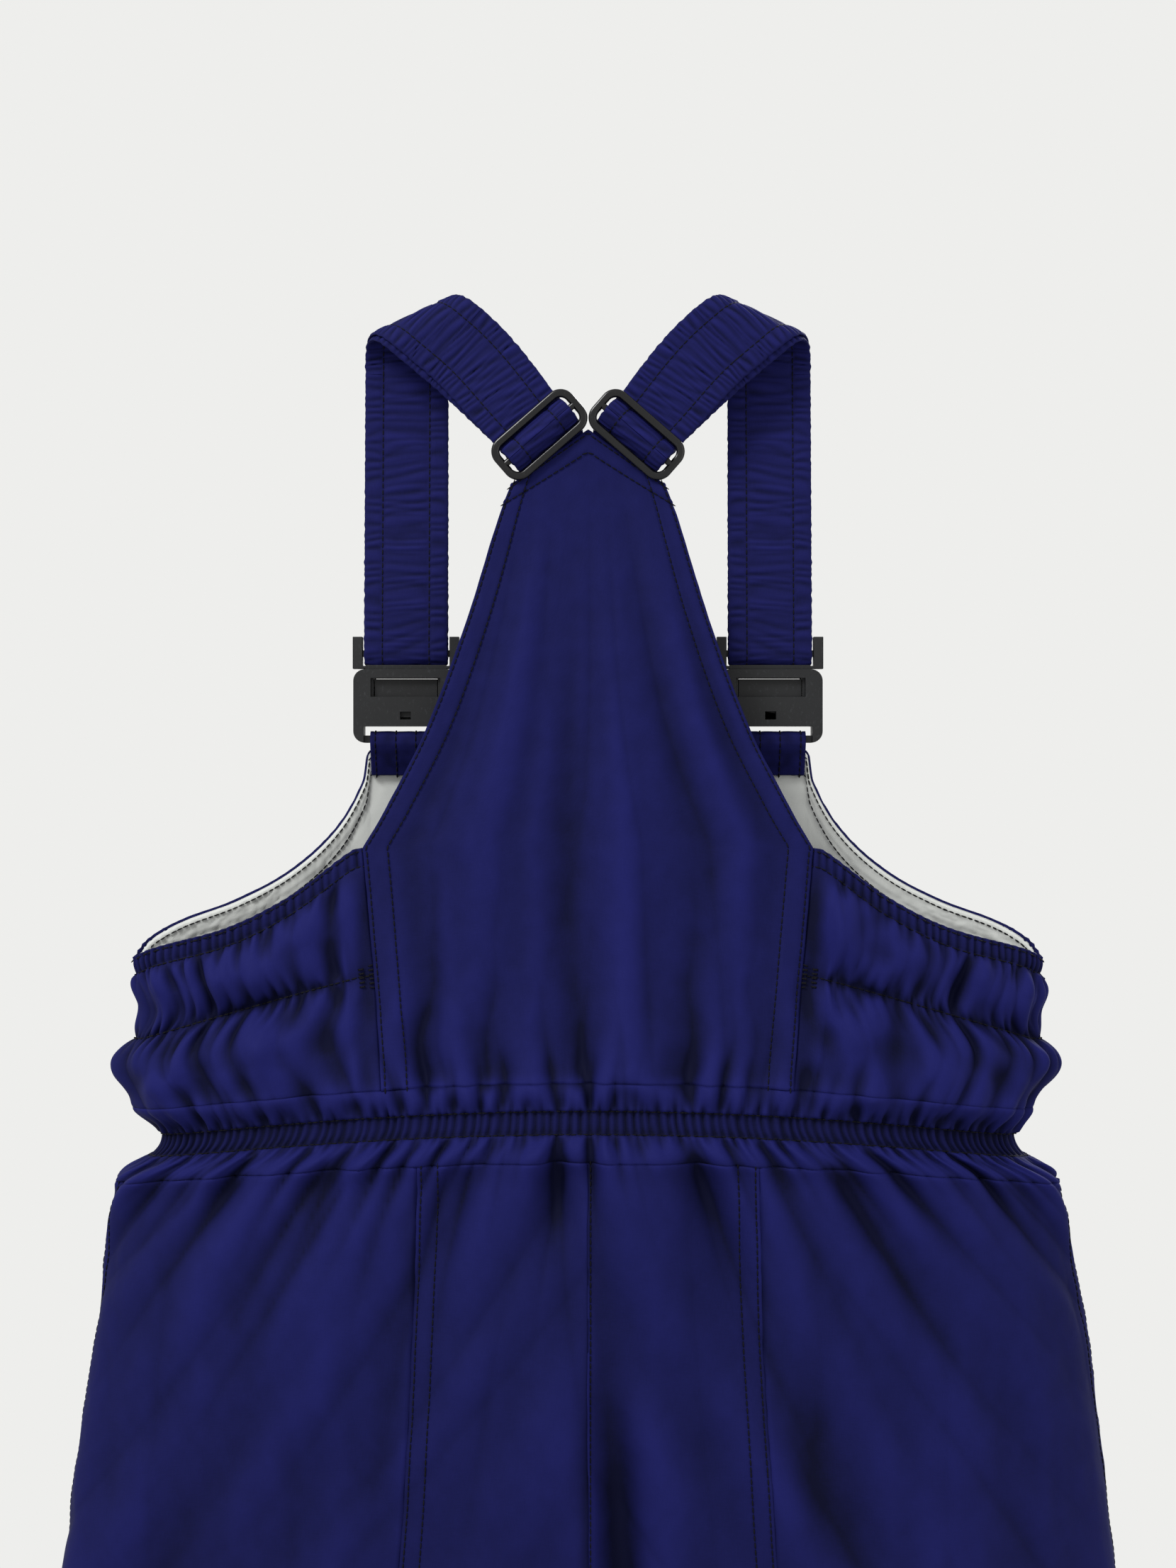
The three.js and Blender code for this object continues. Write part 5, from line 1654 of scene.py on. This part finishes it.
# ---------------------------------------------------------------- hardware
def softened(
    node: bpy.types.Object, name: str, material: bpy.types.Material, edge: float
) -> bpy.types.Object:
    """A CAD node's shape with its corners rounded.

    Args:
        node: the CAD node, which stays as it is.
        name: the new piece's name.
        material: its finish.
        edge: the rounding's size in millimetres.

    Returns:
        The new piece.
    """
    shape = bmesh.new()
    shape.from_mesh(node.data)
    bmesh.ops.remove_doubles(shape, verts=shape.verts, dist=0.02 * MM)
    bmesh.ops.dissolve_limit(shape, angle_limit=math.radians(1), verts=shape.verts, edges=shape.edges)
    mesh = bpy.data.meshes.new(name)
    shape.to_mesh(mesh)
    shape.free()
    mesh.materials.clear()
    mesh.materials.append(material)
    piece = bpy.data.objects.new(name, mesh)
    bpy.context.scene.collection.objects.link(piece)
    bevel = piece.modifiers.new("rounding", "BEVEL")
    bevel.width = edge * MM
    bevel.segments = 3
    bevel.limit_method = "ANGLE"
    bevel.angle_limit = math.radians(32)
    even = piece.modifiers.new("even_shading", "WEIGHTED_NORMAL")
    even.weight = 100
    mesh.shade_smooth()
    settle(piece)
    return piece


@dataclass
class Hardware:
    """Adjuster rings, release buckles and their cloth tabs."""

    palette: Palette
    nodes: dict[str, bpy.types.Object]
    straps: Straps
    form: Form
    ring_size: tuple[float, float] = (44.0, 21.0)
    ring_corner: float = 7.0
    ring_depth: float = 1.35

    def ring(self, side: Side) -> None:
        """One adjuster ring: a flat-sided loop and its middle bar."""
        bar = self.straps.ring_bar
        half = np.array(self.ring_size) / 2 - self.ring_corner
        bend = self.ring_corner - bar
        angle = np.linspace(0, 2 * math.pi, 97)[:-1]
        out = spots(np.cos(angle), np.sin(angle))
        corner = np.sign(np.round(spots(np.cos(angle + 1e-4), np.sin(angle + 1e-4)), 6))
        line = corner * half + bend * out
        around = np.linspace(0, 2 * math.pi, 25)[:-1]
        flat = np.sign(np.cos(around)) * np.abs(np.cos(around)) ** 0.7
        deep = np.sign(np.sin(around)) * np.abs(np.sin(around)) ** 0.7
        plane = line[:, None] + out[:, None] * (flat * bar)[None, :, None]
        loop = self._in_ring(plane[..., 0], plane[..., 1], deep[None, :] * self.ring_depth)
        reach = self.ring_size[0] / 2 - bar
        x = np.linspace(-reach, reach, 24)[:, None]
        radius = self.straps.ring_middle_bar
        rod = self._in_ring(x, radius * np.cos(around), radius * np.sin(around) * 0.9)
        count = 96 * 24
        loop_faces = (np.array(grid_faces(97, 24, around=True)) % count).tolist()
        rod_faces = (np.array(grid_faces(24, 24, around=True)) + count).tolist()
        points = side.turn(np.concatenate([loop.reshape(-1, 3), rod.reshape(-1, 3)]))
        piece = mesh_piece(f"ring_loop_{side.letter}", points, loop_faces + rod_faces, self.palette.gloss)
        outward_faces(piece)
        seat(piece, f"ring_{side.letter}", "gloss_plastic", f"tri_glide_{side.letter}")

    def _in_ring(self, x: Array, z: Array, y: Array) -> Array:
        """Points from the ring's own frame: x along its long side, z up the strap, y towards the wearer."""
        straps, (x, z, y) = self.straps, np.broadcast_arrays(x, z, y)
        return (straps.middle + straps.across * x[..., None] - straps.down * z[..., None]
                + np.array([0.0, 1.0, 0.0]) * y[..., None])

    def buckle(self, side: Side) -> None:
        """One release buckle: housing, tongue and latch, with ribs on the push pad."""
        letter = side.letter
        for name, body, edge in (
            ("buckle_housing", "garment", 0.55), ("buckle_tongue", f"tongue_{letter}", 0.45),
            ("release_latch", f"latch_{letter}", 0.4),
        ):
            node = f"{name}_{letter}"
            piece = softened(self.nodes[node], f"{name}_body_{letter}", self.palette.plastic, edge)
            seat(piece, body, "moulded_plastic", node)
        low, high = (np.array(corner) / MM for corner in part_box(f"release_latch_{letter}"))
        line = spots((low[0] + high[0]) / 2, high[1] + 0.02, high[2] - np.array([2.0, 7.2]))
        ribs = LATCH_RIB.piece(f"latch_ribs_{letter}", [line], self.palette.plastic)
        seat(ribs, f"latch_{letter}", "moulded_plastic")

    def tab(self, side: Side) -> None:
        """The cloth loop that holds one buckle to the bib."""
        straps = self.straps
        radius, end_z, width = 2.8, -196.0, 31.0
        corner = self.form.bib_corner / self.form.chest
        face = (self.form.front_line(end_z) - 2.3) * math.sqrt(1 - corner**2)
        front = face - GAP - 0.5
        bar_z, low_z = -180.15, -182.75
        y = straps.buckle_y
        path = [(front, end_z), (y + radius, low_z)]
        bend = np.linspace(0, math.pi, 9)
        path += [(y + radius * math.cos(a), bar_z + radius * math.sin(a)) for a in bend]
        path += [(y - radius, low_z), (front - 1.3, end_z)]
        keys = np.array([(straps.front_x, y, z) for y, z in path])
        sideways = np.tile([1.0, 0, 0], (len(keys), 1))
        span, _, at = straps.framed(keys, sideways, np.full(len(keys), width))
        v = np.concatenate([np.linspace(-1, 1, 33), np.linspace(1, -1, 33)])[None, :] + 0 * span[:, None]
        up = np.where(np.arange(66) < 33, 1.0, -1.0) + 0 * v
        ripple = 0.14 * straps.noise(spots(v * 15, span[:, None], up * 7), 5, 5, 1)
        rows = sum(hump(np.abs(v), row, 0.04) for row in (0.28, 0.86))
        points = side.turn(at(v * width / 2, up * (0.46 - 0.16 * rows + ripple * (1 - np.abs(v) ** 8))))
        count = v.shape[1]
        faces = grid_faces(len(span), count, side is Side.RIGHT, True)
        faces += [list(range(count)), list(range((len(span) - 1) * count, len(span) * count))]
        tab = mesh_piece(f"tab_webbing_{side.letter}", points, faces, self.palette.strap)
        outward_faces(tab)
        # the crest attribute from the ripple paints shade into its hollows and light onto its rises
        paint(tab, spots(v * width / 2, span[:, None]), np.clip(0.5 + ripple * 2, 0, 1))
        seat(tab, "garment", "strap_cloth", f"buckle_tab_{side.letter}")
        seam = np.array([[-0.86, -0.28, 0.28, 0.86] * 2]) + 0 * span[:, None]
        facing = np.repeat([[1.0, -1.0]], 4, axis=1) + 0 * seam
        lines = side.turn(at(seam * width / 2, facing * 0.5))
        trails = [lines[:, k] for k in range(8)]
        for z, depth in ((-186.0, 1.2), (-194.5, 0.6)):
            here = front - 1.3 - depth + (z - end_z) * 0.15
            box = [(straps.front_x + x, here, z) for x in np.linspace(-width / 2 + 1, width / 2 - 1, 12)]
            trails.append(side.turn(np.array(box)))
        thread = STITCH.piece(f"buckle_tab_stitches_{side.letter}", trails, self.palette.thread)
        seat(thread, "garment", "strap_cloth")

    def build(self) -> None:
        """Makes both sides' hardware."""
        for side in Side:
            self.ring(side)
            self.buckle(side)
            self.tab(side)


@dataclass
class Zip:
    """The front zip: tapes, coils of fine turns, stops, slider and pull."""

    palette: Palette
    nodes: dict[str, bpy.types.Object]
    form: Form
    length: float = 319.15
    coil_x: float = 1.8
    coil_y: float = -0.3

    def point(self, x: float, y: float, z: float) -> Array:
        """A point from the zip's own frame: z up its slope and y out from it."""
        angle = math.atan(self.form.front_slope)
        cos, sin = math.cos(angle), math.sin(angle)
        return np.array([x, self.form.front_top + y * cos - z * sin, self.form.bib_top + y * sin + z * cos])

    def build(self) -> None:
        """Makes the zip's pieces and dresses the ones that stay."""
        for side in Side:
            x = side.value * self.coil_x
            ends = [self.point(x, self.coil_y, -5.6), self.point(x, self.coil_y, 4.0 - self.length)]
            line = np.linspace(ends[0], ends[1], 40)
            coil = COIL_TURN.piece(f"zip_coil_turns_{side.letter}", [line], self.palette.coil)
            seat(coil, "garment", "zip_tape_cloth", f"zip_coil_{side.letter}")
            self.nodes[f"zip_tape_{side.letter}"].data.materials[0] = self.palette.tape
            node = f"zip_top_stop_{side.letter}"
            stop = softened(self.nodes[node], f"zip_stop_{side.letter}", self.palette.metal, 0.5)
            seat(stop, "garment", "zip_metal", node)
        for node, name, body, edge in (
            ("zip_bottom_stop", "zip_end_stop", "garment", 0.5),
            ("zip_slider", "zip_slider_body", "slider", 0.35),
            ("zip_pull", "zip_pull_tab", "pull", 0.45),
        ):
            seat(softened(self.nodes[node], name, self.palette.metal, edge), body, "zip_metal", node)


# ---------------------------------------------------------------- stage
@dataclass(frozen=True)
class Stage:
    """A pale floor, soft light and the camera."""

    floor_height: float = -1.43
    floor_radius: float = 2.3
    distance: float = 1.0
    view_height: float = -0.2
    lens: float = 52.8
    backdrop: Colour = (0.83, 0.83, 0.815)

    def floor(self) -> None:
        """A round pale floor under the hems."""
        bpy.ops.mesh.primitive_circle_add(vertices=96, radius=self.floor_radius, fill_type="NGON",
                                          location=(0, 0, self.floor_height))
        floor = bpy.context.object
        floor.name = "floor"
        recipe = Recipe("pale_floor")
        cloud = recipe.noise("Object", (1.5, 1.5, 1.5), 3.0)
        low, high = (tuple(c * share for c in self.backdrop) for share in (0.6, 0.66))
        recipe.surface(Base_Color=recipe.blend(cloud, low, high), Roughness=0.7 + cloud * 0.1)
        floor.data.materials.append(recipe.material)

    def light(
        self, name: str, place: Sequence[float], target: Sequence[float], size: float, power: float
    ) -> None:
        """A square soft light.

        Args:
            name: its name.
            place: where it stands.
            target: what it faces.
            size: its side in metres.
            power: its power in watts.
        """
        lamp = bpy.data.lights.new(name, "AREA")
        lamp.size = size
        lamp.energy = power
        holder = bpy.data.objects.new(name, lamp)
        holder.location = place
        holder.rotation_euler = (Vector(target) - Vector(place)).to_track_quat("-Z", "Y").to_euler()
        bpy.context.scene.collection.objects.link(holder)

    def world(self) -> None:
        """An even pale surround."""
        world = bpy.data.worlds.new("pale_room")
        world.use_nodes = True
        background = world.node_tree.nodes["Background"]
        background.inputs[0].default_value = (*self.backdrop, 1)
        background.inputs[1].default_value = 1.03
        bpy.context.scene.world = world

    def camera(self) -> None:
        """The camera, level and square on to the garment's back."""
        lens = bpy.data.cameras.new("camera")
        lens.lens = self.lens
        lens.sensor_width = 36
        lens.sensor_fit = "AUTO"
        camera = bpy.data.objects.new("camera", lens)
        camera.location = (0, -self.distance, self.view_height)
        camera.rotation_euler = (math.pi / 2, 0, 0)
        bpy.context.scene.collection.objects.link(camera)
        bpy.context.scene.camera = camera

    def build(self) -> None:
        """Sets the stage."""
        bpy.context.scene.view_settings.view_transform = "Standard"
        self.camera()
        self.world()
        self.floor()
        self.light("key", (-1.1, -1.3, 1.2), (0, 0, -0.35), 0.7, 34)
        self.light("fill", (1.6, -1.4, 0.0), (0, 0, -0.4), 1.6, 6)
        self.light("front_key", (1.1, 1.5, 1.1), (0, 0, -0.5), 0.8, 36)


def main() -> None:
    """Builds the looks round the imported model."""
    logging.basicConfig(level=logging.INFO, format="%(message)s")
    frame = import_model()
    Stage().build()
    palette, form = Palette.mixed(), Form()
    straps = Straps(palette)
    Shell(palette, form).build()
    straps.build()
    Hardware(palette, frame["nodes"], straps, form).build()
    Zip(palette, frame["nodes"], form).build()


if __name__ == "__main__":
    main()
